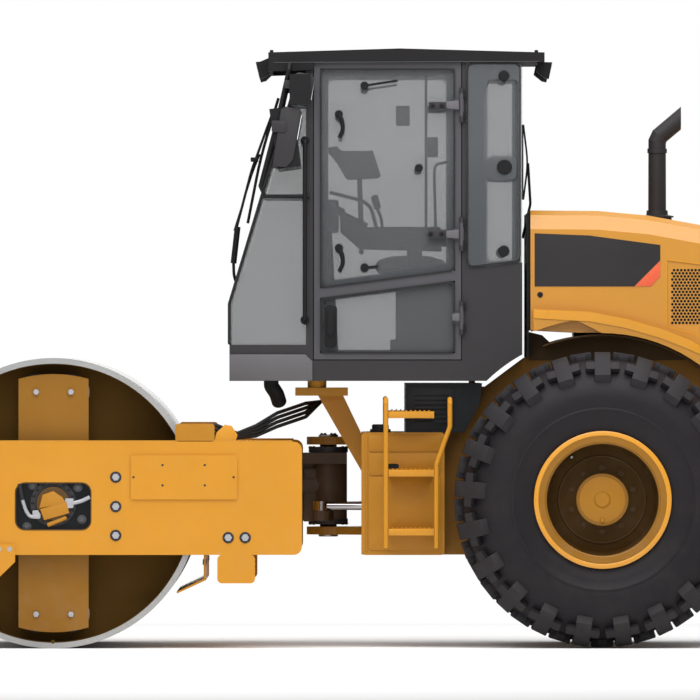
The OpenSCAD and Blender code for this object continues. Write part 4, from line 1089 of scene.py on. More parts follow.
def make_doors(settings):
    """Seals, tinted borders, hinge straps, latches and handles of both doors."""
    x0, x1 = DOOR_LOW.x, DOOR_HIGH.x
    z0, z1 = DOOR_LOW.z, DOOR_HIGH.z
    lower = [(x0, z0), (x1, z0), (x1, 1.944), (x0, 1.852)]
    upper = [(x0, 1.902), (x1, 1.994), (x1, z1), (x0, z1)]
    clear = [(-0.508, 1.944), (0.1255, 2.026), (0.1255, 3.030), (-0.508, 3.030)]
    lower_clear = [(-0.532, 1.576), (0.148, 1.576), (0.148, 1.926), (-0.532, 1.838)]
    for side in SIDES:
        sign, body, face, low, high = door_edges(side)
        pane_face = sign * max(abs(low.y) - 0.047, 0.7255)
        seal = Piece(f"door_seal_{side}", body, "rubber")
        for corners in (lower, upper):
            outer = round_corners(corners, 0.03)
            middle = (sum(p[0] for p in corners) / 4, sum(p[1] for p in corners) / 4)
            inner = [(x - math.copysign(0.009, x - middle[0]), z - math.copysign(0.009, z - middle[1]))
                     for x, z in outer]
            seal.frame_ring(outer, inner, face - sign * 0.019, face - sign * 0.006)
        seal.done()
        border = Piece(f"door_border_{side}", body, "frit")
        for outline, opening, r in ((upper, clear, 0.035), (lower, lower_clear, 0.03)):
            border.frame_ring(round_corners(outline, 0.03), round_corners(opening, r), pane_face,
                              pane_face + sign * 0.0015)
        border.done()
        handle = Piece(f"door_handle_{side}", body, "plastic")
        y0, y1 = sorted((face - sign * 0.002, face + sign * 0.020))
        handle.prism(round_rect(-0.527, -0.460, 1.589, 1.8135, 0.018), y0, y1, 0.006)
        y0, y1 = sorted((face + sign * 0.018, face + sign * 0.040))
        handle.prism(round_rect(-0.510, -0.477, 1.650, 1.795, 0.014), y0, y1, 0.008)
        handle.done()
        straps = Piece(f"door_straps_{side}", body, "cab")
        y0, y1 = sorted((face - sign * 0.032, face + sign * 0.006))
        straps.prism(round_rect(0.025, 0.120, 2.852, 2.891, 0.008), y0, y1, 0.003)
        straps.prism(round_rect(0.020, 0.120, 2.169, 2.214, 0.008), y0, y1, 0.003)
        straps.done()
        plates = Piece(f"door_strap_plates_{side}", body, "panel")
        y0, y1 = sorted((face + sign * 0.0005, face + sign * 0.0135))
        for z, half in ((2.874, 0.024), (2.190, 0.024)):
            plates.prism([(0.119, z - 0.018), (0.186, z - half), (0.186, z + half), (0.119, z + 0.018)], y0, y1, 0.003)
        plates.prism([(0.150, 1.732), (0.190, 1.728), (0.190, 1.772), (0.150, 1.766)], y0, y1, 0.003)
        plates.done()
        places = [(Vector((x, face + sign * 0.008, z)), (0, sign, 0))
                  for x, z in ((0.047, 2.870), (0.095, 2.870), (0.037, 2.190), (0.095, 2.190))]
        bolts(f"door_strap_bolts_{side}", body, places, settings, "plastic", 0.38)
        latch = Piece(f"door_latches_{side}", body, "plastic")
        y = face + sign * 0.012
        for z, drop in ((2.825, 0.125), (2.117, 0.125)):
            latch.rod((-0.450, face - sign * 0.034, z), (-0.450, face + sign * 0.018, z), 0.022, 24, 0.003)
            latch.pipe([(-0.4525, y, z), (-0.432, y, z - 0.035), (-0.428, y, z - 0.080), (-0.448, y, z - drop)],
                       lambda t: 0.0125 - 0.002 * t, 12)
        for start, end in (((-0.314, 2.977), (-0.138, 3.004)), ((-0.314, 2.014), (-0.240, 2.020))):
            latch.rod((start[0], face - sign * 0.034, start[1]), (start[0], face + sign * 0.002, start[1]), 0.022, 24, 0.003)
            latch.rod((start[0], face - sign * 0.028, start[1]), (end[0], face - sign * 0.028, end[1]), 0.006, 10)
        latch.rod((-0.026, face - sign * 0.034, 2.541), (-0.026, face + sign * 0.012, 2.541), 0.022, 24, 0.004)
        latch.done()
        make_rear_pane(side, sign, face)


def make_rear_pane(side, sign, face):
    """Catches, seal and tinted border of the rear side pane."""
    buttons = Piece(f"window_catches_{side}", "rear", "plastic")
    for x, z, r in ((0.424, 3.028, 0.029), (0.427, 2.545, 0.040), (0.424, 2.100, 0.030)):
        buttons.rod((x, face - sign * 0.014, z), (x, face + sign * 0.006, z), r, 32, 0.004)
    buttons.done()
    edge = Piece(f"pane_seal_{side}", "rear", "rubber")
    outline = [(0.228, 2.012), (0.515, 2.045), (0.515, 3.098), (0.228, 3.098)]
    outer = round_corners(outline, 0.035)
    inner = [(x - math.copysign(0.008, x - 0.37), z - math.copysign(0.008, z - 2.55)) for x, z in outer]
    edge.frame_ring(outer, inner, face - sign * 0.013, face - sign * 0.001)
    edge.done()
    border = Piece(f"pane_border_{side}", "rear", "frit")
    clear = round_corners([(0.336, 2.044), (0.502, 2.056), (0.502, 3.010), (0.336, 3.010)], 0.03)
    border.frame_ring(outer, clear, face - sign * 0.0055, face - sign * 0.004)
    border.prism(round_rect(0.3365, 0.492, 2.479, 2.603, 0.030), face - sign * 0.0055, face - sign * 0.004)
    border.done()
    brackets = Piece(f"hinge_brackets_{side}", "rear", "plastic")
    y0, y1 = sorted((face - sign * 0.003, face + sign * 0.0125))
    for z0, z1 in ((2.791, 2.840), (2.906, 2.955), (2.105, 2.158), (2.222, 2.269), (1.674, 1.714), (1.786, 1.826)):
        brackets.prism(round_rect(0.2085, 0.2235, z0, z1, 0.004), y0, y1, 0.002)
    brackets.done()


def make_cab_shell(settings):
    """Seals of the windscreen and front panes, the roof's seam, the handrails and the cab's lining."""
    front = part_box("windscreen")[0].x
    seal = Piece("screen_seal", "rear", "rubber")
    for sign in (-1, 1):
        y = sign * (CAB_Y - 0.018)
        seal.pipe([(front - 0.001, y, 1.612), (front - 0.001, y, 1.82), (-0.664, y, 3.04)], 0.008, 8, 1)
    seal.pipe([(front - 0.001, -CAB_Y + 0.02, 1.612), (front - 0.001, CAB_Y - 0.02, 1.612)], 0.008, 8, 1)
    seal.done()
    panel = Piece("front_panel", "rear", "panel")
    for sign in (-1, 1):
        y0, y1 = sorted((sign * (CAB_Y - 0.014), sign * (CAB_Y + 0.001)))
        panel.prism([(front + 0.002, 1.4135), (-0.590, 1.4135), (-0.590, 1.516), (-0.628, 1.553), (front + 0.002, 1.553)],
                    y0, y1, 0.002)
    panel.done()
    jamb = Piece("door_jambs", "rear", "rubber")
    for sign in (-1, 1):
        jamb.frame_ring([(-0.606, 1.500), (0.212, 1.500), (0.212, 3.101), (-0.606, 3.101)],
                        [(-0.566, 1.541), (0.182, 1.541), (0.182, 3.084), (-0.566, 3.084)], sign * 0.6895, sign * 0.7030)
    jamb.done()
    rails = Piece("cab_handrails", "rear", "plastic")
    for sign in (-1, 1):
        y = sign * (CAB_Y + 0.048)
        foot = sign * (CAB_Y - 0.002)
        rails.pipe([(-0.630, foot, 1.735), (-0.630, y, 1.735), (-0.630, y, 2.685), (-0.630, foot, 2.685)], 0.012, 14, 8)
        for z in (1.735, 2.685):
            rails.rod((-0.630, foot, z), (-0.630, foot + sign * 0.006, z), 0.024, 20, 0.002)
    rails.done()
    posts = Piece("roof_posts", "rear", "plastic")
    for x in (-0.808, 0.600):
        for sign in (-1, 1):
            posts.rod((x, sign * 0.40, 3.140), (x, sign * 0.40, 3.172), 0.010, 12, 0.002)
    posts.done()
    gutter = Piece("roof_gutter", "rear", "liner")
    for sign in (-1, 1):
        y0, y1 = sorted((sign * (ROOF_HIGH.y - 0.002), sign * (ROOF_HIGH.y + 0.002)))
        gutter.prism([(ROOF_LOW.x + 0.03, 3.098), (ROOF_HIGH.x - 0.03, 3.104), (ROOF_HIGH.x - 0.03, 3.107),
                      (ROOF_LOW.x + 0.03, 3.101)], y0, y1, 0.0005)
    gutter.done()
    liner = Piece("roof_liner", "rear", "liner")
    liner.block((-0.54, -0.69, 3.078), (0.47, 0.69, 3.100), 0.008)
    liner.done()
    floor = Piece("cab_floor_mat", "rear", "rubber")
    floor.block((-0.99, -0.69, 1.4525), (0.20, 0.69, 1.460), 0.003)
    floor.done()


def wiper(name, blade, arm, y, thick):
    """A wiper blade with its arm, as paths of places in X and Z at a distance along Y."""
    piece = Piece(name, "rear", "plastic")
    piece.pipe([(x, y, z) for x, z in blade], thick * 0.55, 8, 4)
    piece.pipe([(x, y, z) for x, z in arm], thick * 0.5, 8, 4)
    return piece


def make_wipers(settings):
    """Front and rear wipers."""
    front = wiper("front_wiper", [(-0.772, 2.919), (-0.868, 2.600), (-0.936, 2.251)],
                  [(-0.810, 2.822), (-0.845, 2.728), (-0.879, 2.633)], -0.22, 0.014)
    front.block((-0.921, -0.240, 2.579), (-0.879, -0.200, 2.603), 0.004)
    front.pipe([(-0.879, -0.22, 2.633), (-0.915, -0.22, 2.536), (-0.994, -0.22, 2.233)], 0.007, 8, 4)
    front.pipe([(-0.872, -0.20, 2.620), (-0.912, -0.20, 2.520), (-1.008, -0.20, 2.212)], 0.005, 8, 4)
    front.pipe([(-0.990, -0.22, 2.233), (-1.012, -0.22, 2.038)], 0.016, 14, 1)
    front.pipe([(-1.012, -0.22, 2.045), (-1.010, -0.22, 1.980), (-1.002, -0.20, 1.947)], 0.008, 10, 4)
    front.done()
    rear = wiper("rear_wiper", [(0.5295, 2.378), (0.5295, 2.779)], [(0.534, 2.779), (0.559, 2.573), (0.534, 2.378)],
                 -0.10, 0.010)
    rear.pipe([(0.559, -0.10, 2.573), (0.572, -0.10, 2.354), (0.563, -0.10, 2.318), (0.530, -0.10, 2.172)], 0.007, 8, 4)
    rear.done()


def make_mirrors(settings):
    """Rounded mirror heads of two shells with their glass, and the clamps on the mirrors' tube."""
    outlines = {
        "upper": [(-0.709, 2.931), (-0.691, 3.034), (-0.660, 3.046), (-0.593, 3.034), (-0.578, 3.010),
                  (-0.5995, 2.888), (-0.642, 2.879), (-0.703, 2.913)],
        "lower": [(-0.800, 2.560), (-0.757, 2.852), (-0.727, 2.864), (-0.660, 2.858), (-0.6456, 2.834),
                  (-0.6906, 2.585), (-0.727, 2.542), (-0.788, 2.548)],
    }
    for side, sign in SIDES.items():
        y = sign * (CAB_Y + 0.090)
        heads = Piece(f"mirror_heads_{side}", "rear", "cab")
        seams = Piece(f"mirror_seams_{side}", "rear", "screen")
        for outline in outlines.values():
            centre = (sum(p[0] for p in outline) / 8, sum(p[1] for p in outline) / 8)
            small = [(centre[0] + 0.96 * (x - centre[0]), centre[1] + 0.97 * (z - centre[1])) for x, z in outline]
            heads.prism(outline, *sorted((y - sign * 0.052, y - sign * 0.012)), 0.010)
            heads.prism(outline, *sorted((y - sign * 0.008, y + sign * 0.010)), 0.006)
            seams.prism(small, *sorted((y - sign * 0.013, y - sign * 0.007)))
        for x0, x1, z0, z1 in ((-0.739, -0.691, 2.961, 3.004), (-0.806, -0.727, 2.730, 2.791)):
            heads.prism(round_rect(x0, x1, z0, z1, 0.008), *sorted((y - sign * 0.018, y + sign * 0.016)), 0.004)
        heads.done()
        seams.done()
        glass = Piece(f"mirror_glass_{side}", "rear", "mirror")
        for (xa, za), (xb, zb) in (((-0.5990, 2.900), (-0.5825, 3.000)), ((-0.6880, 2.600), (-0.6490, 2.820))):
            glass.prism([(xa, za), (xa + 0.003, za), (xb + 0.003, zb), (xb, zb)],
                        *sorted((y - sign * 0.046, y - sign * 0.018)))
        glass.done()


def make_lamps(settings):
    """Lenses on the sloping faces of the work lights."""
    z = 3.102
    faces = ((ROOF_LOW.x, [(-0.0685, 0.000), (-0.0480, -0.083), (-0.0440, -0.083), (-0.0645, 0.000)]),
             (ROOF_HIGH.x, [(0.0432, -0.002), (0.0257, -0.083), (0.0217, -0.083), (0.0392, -0.002)]))
    lens = Piece("lamp_lenses", "rear", "lens")
    for sign in (-1, 1):
        for x, outline in faces:
            lens.prism([(x + dx, z + dz) for dx, dz in outline], *sorted((sign * 0.500, sign * 0.620)), 0.001)
    lens.done()


def cushion(name, low, high, swell):
    """A stuffed cushion: a soft block blown up by air, between a low and a high corner."""
    bm = bmesh.new()
    bmesh.ops.create_cube(bm, size=1.0)
    low, high = Vector(low), Vector(high)
    inset = Vector((swell, swell, swell))
    size = high - low - inset
    for vert in bm.verts:
        vert.co = Vector((vert.co.x * size.x, vert.co.y * size.y, vert.co.z * size.z)) + (low + high) / 2
    bmesh.ops.bevel(bm, geom=bm.edges[:], offset=0.025, segments=2, affect="EDGES", profile=0.5)
    bmesh.ops.subdivide_edges(bm, edges=bm.edges[:], cuts=5, use_grid_fill=True)
    mesh = bpy.data.meshes.new(name)
    bm.to_mesh(mesh)
    bm.free()
    obj = bpy.data.objects.new(name, mesh)
    bpy.context.scene.collection.objects.link(obj)
    cloth = obj.modifiers.new("Cloth", "CLOTH")
    cloth.settings.use_pressure = True
    cloth.settings.uniform_pressure_force = 4.0
    cloth.settings.tension_stiffness = 30
    cloth.settings.compression_stiffness = 30
    cloth.settings.shear_stiffness = 12
    cloth.settings.effector_weights.gravity = 0.0
    cloth.point_cache.frame_end = 20
    scene = bpy.context.scene
    for number in range(1, 21):
        scene.frame_set(number)
    graph = bpy.context.evaluated_depsgraph_get()
    grown = bpy.data.meshes.new_from_object(obj.evaluated_get(graph))
    obj.modifiers.clear()
    obj.data = grown
    scene.frame_set(1)
    remesh = obj.modifiers.new("Remesh", "REMESH")
    remesh.mode = "VOXEL"
    remesh.voxel_size = 0.009
    graph = bpy.context.evaluated_depsgraph_get()
    grown = bpy.data.meshes.new_from_object(obj.evaluated_get(graph))
    obj.modifiers.clear()
    obj.data = grown
    fit_inside(obj.data, low, high)
    obj.data.materials.clear()
    obj.data.materials.append(MATERIALS["cloth"])
    smooth(obj.data, 60)
    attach(obj, "rear")
    return obj


def fit_inside(mesh, low, high):
    """Scales a mesh about its middle so that it fills a box."""
    places = [vert.co.copy() for vert in mesh.vertices]
    least = Vector(tuple(min(p[i] for p in places) for i in range(3)))
    most = Vector(tuple(max(p[i] for p in places) for i in range(3)))
    middle = (least + most) / 2
    target = (low + high) / 2
    for vert in mesh.vertices:
        for i in range(3):
            vert.co[i] = target[i] + (vert.co[i] - middle[i]) * (high[i] - low[i]) / (most[i] - least[i])


def make_seat(settings):
    """Stuffed seat and back, armrests and the control lever."""
    low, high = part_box("seat_pads")
    split = HITCH_X + 0.630
    seat = cushion("seat_cushion", (low.x, low.y, low.z), (split, high.y, low.z + 0.12), 0.03)
    back = cushion("seat_back", (split + 0.002, low.y + 0.01, low.z + 0.04), (high.x, high.y - 0.01, high.z), 0.03)
    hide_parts("seat_pads")
    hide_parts("seat_pads")
    arms = Piece("armrest_pads", "rear", "plastic")
    for sign in (-1, 1):
        y0, y1 = sorted((sign * 0.258, sign * 0.344))
        arms.block((HITCH_X + 0.245, y0, 2.195), (HITCH_X + 0.600, y1, 2.232), 0.014)
    arms.done()
    stick = Piece("control_lever", "rear", "plastic")
    stick.pipe([(HITCH_X + 0.29, 0.30, 2.19), (HITCH_X + 0.285, 0.30, 2.28), (HITCH_X + 0.26, 0.30, 2.34)], 0.009, 12, 6)
    stick.rod((HITCH_X + 0.265, 0.30, 2.33), (HITCH_X + 0.245, 0.30, 2.405), 0.020, 20, 0.008)
    stick.done()


def make_dash(settings):
    """Display, its arm, the wheel's boss, the side console, levers and grab rail of the cab."""
    screen = Piece("display", "rear", "liner")
    screen.prism([(-0.508, 2.664), (-0.460, 2.670), (-0.4355, 2.636), (-0.268, 2.648), (-0.225, 2.512),
                  (-0.241, 2.497), (-0.399, 2.488), (-0.417, 2.500), (-0.448, 2.573), (-0.508, 2.633)],
                 0.42, 0.50, 0.008)
    screen.done()
    stand = Piece("display_stand", "rear", "plastic")
    stand.pipe([(-0.340, 0.46, 2.50), (-0.335, 0.48, 2.36), (-0.33, 0.60, 2.20), (-0.33, 0.684, 2.10)], 0.014, 12, 6)
    stand.done()
    boss = Piece("wheel_boss", "rear", "plastic")
    axis = Vector((math.sin(math.radians(25)), 0, math.cos(math.radians(25))))
    start = Vector((HITCH_X - 0.020, 0, 2.200)) + axis * 0.118
    boss.rod(start, start + axis * 0.045, 0.052, 32, 0.010)
    boss.done()
    pods = Piece("dash_pods", "rear", "plastic")
    pods.block((-0.62, -0.17, 2.06), (-0.50, 0.17, 2.20), 0.020)
    pods.block((-0.528, -0.06, 2.20), (-0.450, 0.06, 2.380), 0.016)
    pods.done()
    console = Piece("side_console", "rear", "plastic")
    console.prism([(-0.442, 2.208), (-0.448, 2.330), (-0.399, 2.305), (-0.314, 2.226), (0.100, 2.226),
                   (0.100, 2.105), (-0.338, 2.117)], 0.42, 0.684, 0.010)
    console.pipe([(-0.496, 0.30, 2.42), (-0.326, 0.40, 2.378), (-0.278, 0.45, 2.342), (-0.247, 0.47, 2.222)], 0.010, 10, 5)
    console.done()
    rail = Piece("cab_grab_rail", "rear", "plastic")
    rail.pipe([(0.1255, 0.690, 2.588), (0.071, 0.640, 2.573), (0.062, 0.640, 2.536), (0.070, 0.640, 2.222)], 0.008, 10, 5)
    rail.rod((0.018, 0.640, 2.222), (0.018, 0.640, 3.079), 0.008, 12)
    rail.done()
    boxes = Piece("far_side_boxes", "rear", "plastic")
    for x0, x1, z0, z1 in ((-0.144, -0.069, 2.782, 2.891), (0.013, 0.083, 2.613, 2.722)):
        boxes.block((x0, 0.645, z0), (x1, 0.684, z1), 0.006)
    boxes.done()


def hood_side(outline, name, finish, lift, bevel=0.0015, base=0.0):
    """A thin plate of one outline on both sides of the hood."""
    piece = Piece(name, "hood", finish)
    for sign in (-1, 1):
        start, end = sorted((sign * (HOOD_Y + base), sign * (HOOD_Y + lift)))
        piece.prism(outline, start, end, bevel)
    return piece.done()


def make_hood_trim(settings):
    """Bare dark band, warm stripe, fender lip with painted highlight, latches, seal and grips of the hood."""
    band = [(0.588, 1.913), (1.115, 1.913), (1.254, 2.052), (1.254, 2.133), (0.875, 2.183), (0.588, 2.1945)]
    hood_side(band, "hood_band", "band", 0.003, 0.001)
    stripe = [(1.118, 1.9135), (1.204, 1.913), (1.254, 1.966), (1.254, 2.048)]
    hood_side(stripe, "hood_stripe", "stripe", 0.003, 0.001)
    # The lip is a plate in the lighter paint: painted highlight along the fender's top
    top = [(0.582, 1.790), (0.875, 1.779), (1.076, 1.740), (1.254, 1.690), (1.410, 1.629), (1.470, 1.594)]
    low = [(0.582, 1.742), (0.875, 1.728), (1.065, 1.694), (1.254, 1.639), (1.400, 1.582), (1.470, 1.548)]
    lip_y = HOOD_HIGH.y - HOOD_Y
    hood_side(low + list(reversed(top)), "fender_lip", "highlight_paint", lip_y + 0.004, 0.0035, lip_y - 0.001)
    latch = Piece("hood_latches", "hood", "plastic")
    for sign in (-1, 1):
        y0, y1 = sorted((sign * (HOOD_Y - 0.001), sign * (HOOD_Y + 0.005)))
        latch.rod((0.617, y0, 1.869), (0.617, y1, 1.869), 0.015, 24, 0.002)
    latch.done()
    seal = Piece("hood_seal", "hood", "rubber")
    x = HOOD_LOW.x + 0.002
    seal.pipe([(x, -0.691, 1.70), (x, -0.691, 2.205), (x, -0.664, 2.283), (x, -0.606, 2.308), (x, 0.606, 2.308),
               (x, 0.664, 2.283), (x, 0.691, 2.205), (x, 0.691, 1.70)], 0.008, 8, 2)
    seal.done()
    handle = Piece("hood_grips", "hood", "plastic")
    for sign in (-1, 1):
        y = sign * (HOOD_Y + 0.030)
        foot = sign * (HOOD_Y - 0.001)
        handle.pipe([(2.30, foot, 1.60), (2.30, y, 1.60), (2.52, y, 1.60), (2.52, foot, 1.60)], 0.010, 12, 6)
    handle.done()


def make_grilles(settings):
    """Holes of the perforated side panels as dark discs of painted shade, their rims, and the slatted rear panel of the
    hood.
    """
    pitch = 0.019
    for side, sign in SIDES.items():
        face = sign * (HOOD_Y - 0.0055)
        places = []
        for row in range(26):
            z = 1.588 + 0.866 * pitch * row
            for column in range(40):
                x = 1.318 + pitch * (column + 0.5 * (row % 2))
                ceiling = 2.072 - 0.132 * (x - 1.283) - 0.016
                floor = 1.712 if x < 1.640 else 1.712 - 0.14 * min(1.0, (x - 1.640) / 0.103)
                if x < 2.022 and floor < z < ceiling:
                    places.append((x, face, z))
        # The holes are near-black discs: painted shade
        obj = point_cloud(f"grille_holes_{side}", places)
        grow(obj, TREES["holes"], {"Radius": 0.0072, "Depth": 0.002, "Finish": MATERIALS["screen"]})
        settle(obj, "hood")
        rim = Piece(f"grille_rim_{side}", "hood", "paint")
        outer = [(1.283, 1.700), (1.283, 2.060), (2.043, 1.960), (2.043, 1.560), (1.743, 1.560)]
        inner = [(1.290, 1.706), (1.290, 2.052), (2.036, 1.954), (2.036, 1.567), (1.746, 1.567)]
        rim.frame_ring(outer, inner, sign * (HOOD_Y - 0.006), sign * (HOOD_Y + 0.001))
        rim.done()
    slats = Piece("rear_slats", "hood", "cab")
    for i in range(9):
        z = 1.495 + 0.029 * i
        slats.block((HOOD_HIGH.x - 0.012, -0.475, z), (HOOD_HIGH.x + 0.001, 0.475, z + 0.010), 0.002)
    slats.done()


def make_exhaust(settings):
    """Base flange and clamp of the exhaust, and the cap of the air intake."""
    low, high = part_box("exhaust")
    x = low.x + 0.078
    trim = Piece("exhaust_trim", "hood", "exhaust")
    trim.lathe([(0.049, -0.004), (0.088, -0.004), (0.088, 0.004), (0.058, 0.010), (0.056, 0.034), (0.049, 0.034)],
               (x, 0, 2.288), "z", 48)
    trim.lathe([(0.0475, -0.012), (0.0525, -0.012), (0.0525, 0.012), (0.0475, 0.012)], (x, 0, 2.640), "z", 48)
    trim.done(30)
    cap = Piece("air_intake_cap", "hood", "plastic")
    cap.lathe([(0.001, 0.0), (0.060, 0.0), (0.062, 0.030), (0.090, 0.034), (0.094, 0.040), (0.094, 0.085),
               (0.080, 0.100), (0.001, 0.104)], (1.62, 0.30, 2.160), "z", 48)
    cap.done(30)
    del high


def make_stage(stage):
    """Floor, light and camera."""
    scene = bpy.context.scene
    floor_mesh = bpy.data.meshes.new("floor")
    floor_mesh.from_pydata([(-30, -24, 0), (30, -24, 0), (30, 7, 0), (-30, 7, 0)], [], [(0, 1, 2, 3)])
    floor_mesh.materials.append(surface_material("Floor", (0.90, 0.90, 0.90), 0.85, tone=0.0, dust=0.0, bump=0.0))
    floor = bpy.data.objects.new("floor", floor_mesh)
    scene.collection.objects.link(floor)
    world = bpy.data.worlds.new("World")
    world.use_nodes = True
    background = world.node_tree.nodes["Background"]
    background.inputs["Color"].default_value = (1, 1, 1, 1)
    background.inputs["Strength"].default_value = stage.sky
    backdrop = world.node_tree.nodes.new("ShaderNodeBackground")
    path = world.node_tree.nodes.new("ShaderNodeLightPath")
    both = world.node_tree.nodes.new("ShaderNodeMixShader")
    links = world.node_tree.links
    links.new(path.outputs["Is Camera Ray"], both.inputs["Fac"])
    links.new(background.outputs[0], both.inputs[1])
    links.new(backdrop.outputs[0], both.inputs[2])
    links.new(both.outputs[0], world.node_tree.nodes["World Output"].inputs["Surface"])
    backdrop.inputs["Color"].default_value = (1, 1, 1, 1)
    scene.world = world
    for name, place, size, energy in (("above", (0.0, -3.5, 9.0), 11.0, stage.above),
                                      ("front", (-2.0, -14.0, 6.0), 7.0, stage.front),
                                      ("back", (0.0, 30.0, 12.0), 24.0, stage.back)):
        light = bpy.data.lights.new(name, "AREA")
        light.size = size
        light.energy = energy
        lamp = bpy.data.objects.new(name, light)
        scene.collection.objects.link(lamp)
        lamp.location = place
        lamp.rotation_euler = (Vector((0, 0, 1.4)) - Vector(place)).to_track_quat("-Z", "Y").to_euler()
    data = bpy.data.cameras.new("camera")
    camera = bpy.data.objects.new("camera", data)
    scene.collection.objects.link(camera)
    camera.location = (stage.aim_x, -stage.distance, stage.aim_z)
    camera.rotation_euler = (math.radians(90), 0, 0)
    data.sensor_width = 36
    near_plane = 0.9
    data.lens = data.sensor_width * (stage.distance - near_plane) / stage.view_width
    data.clip_end = 300
    scene.camera = camera
    scene.view_settings.view_transform = "Standard"


# Operators, one for each group of pieces

class COMPACTOR_OT_finishes(bpy.types.Operator):
    """Makes the finishes and the node trees, and paints the carried-over solids"""
    bl_idname = "compactor.finishes"
    bl_label = "Finishes"

    def execute(self, context):
        MATERIALS.update(make_materials(context.scene.compactor_finish))
        TREES.update({"ring": ring_tree(), "bolts": bolt_tree(), "holes": hole_tree()})
        repaint("paint", "counterweight", "ladders", "tie_down_rear", "side_plates", "front_beam", "rear_beam",
                "front_scraper", "rear_scraper", "tie_down_front", "cab_mast")
        # The hood's paint is a little darker: painted shade on its sides
        repaint("hood", "hood", "hood_grilles")
        # Half-dark paint: painted half shade on parts under the cab
        repaint("half_shaded", "side_tanks", "hose_guards")
        repaint("shaded", "rear_frame", "drive_plates", "rim_left", "rim_right", "steer_barrel_left",
                "steer_barrel_right")
        # Darkened paint: painted deep shade on parts inside and under the frames
        repaint("deep_shade_paint", "drum_motors", "rear_axle", "engine_block")
        repaint("cab", "cab_base", "cab_posts")
        repaint("roof", "cab_roof")
        repaint("door", "door_left", "door_right")
        repaint("casting", "hitch_casting")
        repaint("drum", "drum_shell")
        repaint("chrome", "steer_rod_left", "steer_rod_right")
        repaint("rubber", "rubber_mounts", "hoses")
        repaint("tyre", "tyre_left", "tyre_right")
        # The black battery boxes are made darker still: painted shade under the cab
        repaint("screen", "battery_boxes")
        repaint("plastic", "console", "mirrors", "work_lights", "radiator", "fire_wall",
                "seat_base")
        repaint("glass", "windscreen", "cab_glass", "door_glass_left", "door_glass_right")
        repaint("cloth", "seat_pads")
        repaint("exhaust", "exhaust")
        return {"FINISHED"}


class COMPACTOR_OT_wheels(bpy.types.Operator):
    """Makes the tyres and dresses the rims"""
    bl_idname = "compactor.wheels"
    bl_label = "Wheels"

    def execute(self, context):
        make_tyres(context.scene.compactor_tyre)
        make_rims(context.scene.compactor_bolt)
        return {"FINISHED"}


class COMPACTOR_OT_drum(bpy.types.Operator):
    """Dresses the drum and its motors"""
    bl_idname = "compactor.drum"
    bl_label = "Drum"

    def execute(self, context):
        make_drum(context.scene.compactor_bolt)
        make_motors(context.scene.compactor_bolt)
        return {"FINISHED"}


class COMPACTOR_OT_front(bpy.types.Operator):
    """Dresses the front frame"""
    bl_idname = "compactor.front"
    bl_label = "Front frame"

    def execute(self, context):
        make_side_plates(context.scene.compactor_bolt)
        make_front_frame(context.scene.compactor_bolt)
        return {"FINISHED"}


class COMPACTOR_OT_hitch(bpy.types.Operator):
    """Dresses the hitch and the steering cylinders"""
    bl_idname = "compactor.hitch"
    bl_label = "Hitch"

    def execute(self, context):
        make_hitch(context.scene.compactor_bolt)
        return {"FINISHED"}


class COMPACTOR_OT_rear(bpy.types.Operator):
    """Dresses the rear frame, its tanks and ladders"""
    bl_idname = "compactor.rear"
    bl_label = "Rear frame"

    def execute(self, context):
        make_rear_frame(context.scene.compactor_bolt)
        return {"FINISHED"}


class COMPACTOR_OT_cab(bpy.types.Operator):
    """Dresses the cab's outside"""
    bl_idname = "compactor.cab"
    bl_label = "Cab outside"

    def execute(self, context):
        for make in (make_doors, make_cab_shell, make_wipers, make_mirrors, make_lamps):
            make(context.scene.compactor_bolt)
        return {"FINISHED"}


class COMPACTOR_OT_inside(bpy.types.Operator):
    """Fits out the cab's inside"""
    bl_idname = "compactor.inside"
    bl_label = "Cab inside"

    def execute(self, context):
        make_seat(context.scene.compactor_bolt)
        make_dash(context.scene.compactor_bolt)
        return {"FINISHED"}


class COMPACTOR_OT_hood(bpy.types.Operator):
    """Dresses the hood, its grilles and the exhaust"""
    bl_idname = "compactor.hood"
    bl_label = "Hood"

    def execute(self, context):
        for make in (make_hood_trim, make_grilles, make_exhaust):
            make(context.scene.compactor_bolt)
        return {"FINISHED"}


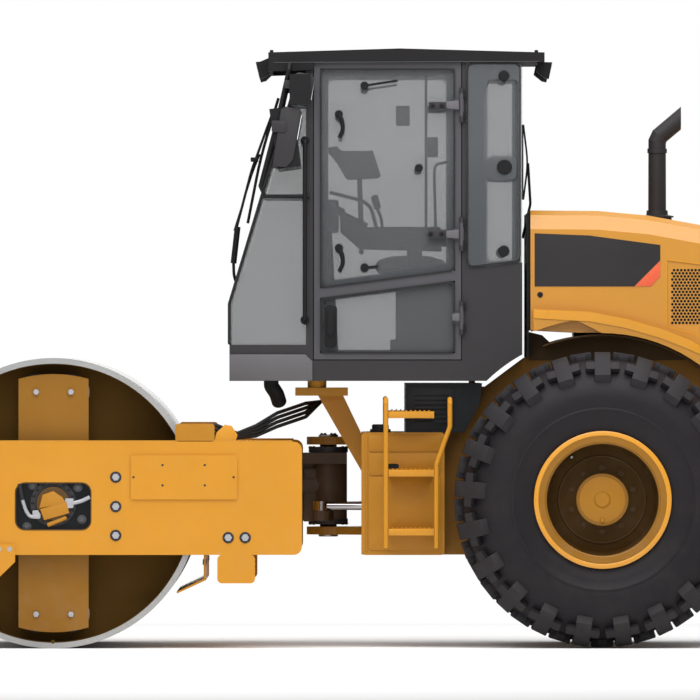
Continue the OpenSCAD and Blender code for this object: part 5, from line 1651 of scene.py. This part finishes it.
class COMPACTOR_OT_stage(bpy.types.Operator):
    """Sets the floor, the light and the camera"""
    bl_idname = "compactor.stage"
    bl_label = "Stage"

    def execute(self, context):
        make_stage(context.scene.compactor_stage)
        return {"FINISHED"}


OPERATORS = (COMPACTOR_OT_finishes, COMPACTOR_OT_wheels, COMPACTOR_OT_drum, COMPACTOR_OT_front, COMPACTOR_OT_hitch,
             COMPACTOR_OT_rear, COMPACTOR_OT_cab, COMPACTOR_OT_inside, COMPACTOR_OT_hood, COMPACTOR_OT_stage)


class COMPACTOR_PT_panel(bpy.types.Panel):
    """Settings and steps of the compactor's dressing"""
    bl_label = "Compactor"
    bl_idname = "COMPACTOR_PT_panel"
    bl_space_type = "VIEW_3D"
    bl_region_type = "UI"
    bl_category = "Compactor"

    def draw(self, context):
        scene = context.scene
        for group, names in ((scene.compactor_finish, FinishSettings), (scene.compactor_bolt, BoltSettings),
                             (scene.compactor_tyre, TyreSettings), (scene.compactor_stage, StageSettings)):
            box = self.layout.box()
            for name in names.__annotations__:
                box.prop(group, name)
        for operator in OPERATORS:
            self.layout.operator(operator.bl_idname)


CLASSES = (FinishSettings, BoltSettings, TyreSettings, StageSettings) + OPERATORS + (COMPACTOR_PT_panel,)
POINTERS = {"compactor_finish": FinishSettings, "compactor_bolt": BoltSettings, "compactor_tyre": TyreSettings,
            "compactor_stage": StageSettings}


def register():
    for cls in CLASSES:
        bpy.utils.register_class(cls)
    for name, group in POINTERS.items():
        setattr(bpy.types.Scene, name, bpy.props.PointerProperty(type=group))


def unregister():
    for name in POINTERS:
        delattr(bpy.types.Scene, name)
    for cls in reversed(CLASSES):
        bpy.utils.unregister_class(cls)


def main():
    register()
    bpy.ops.compactor.finishes()
    bpy.ops.compactor.wheels()
    bpy.ops.compactor.drum()
    bpy.ops.compactor.front()
    bpy.ops.compactor.hitch()
    bpy.ops.compactor.rear()
    bpy.ops.compactor.cab()
    bpy.ops.compactor.inside()
    bpy.ops.compactor.hood()
    bpy.ops.compactor.stage()


if __name__ == "__main__":
    main()
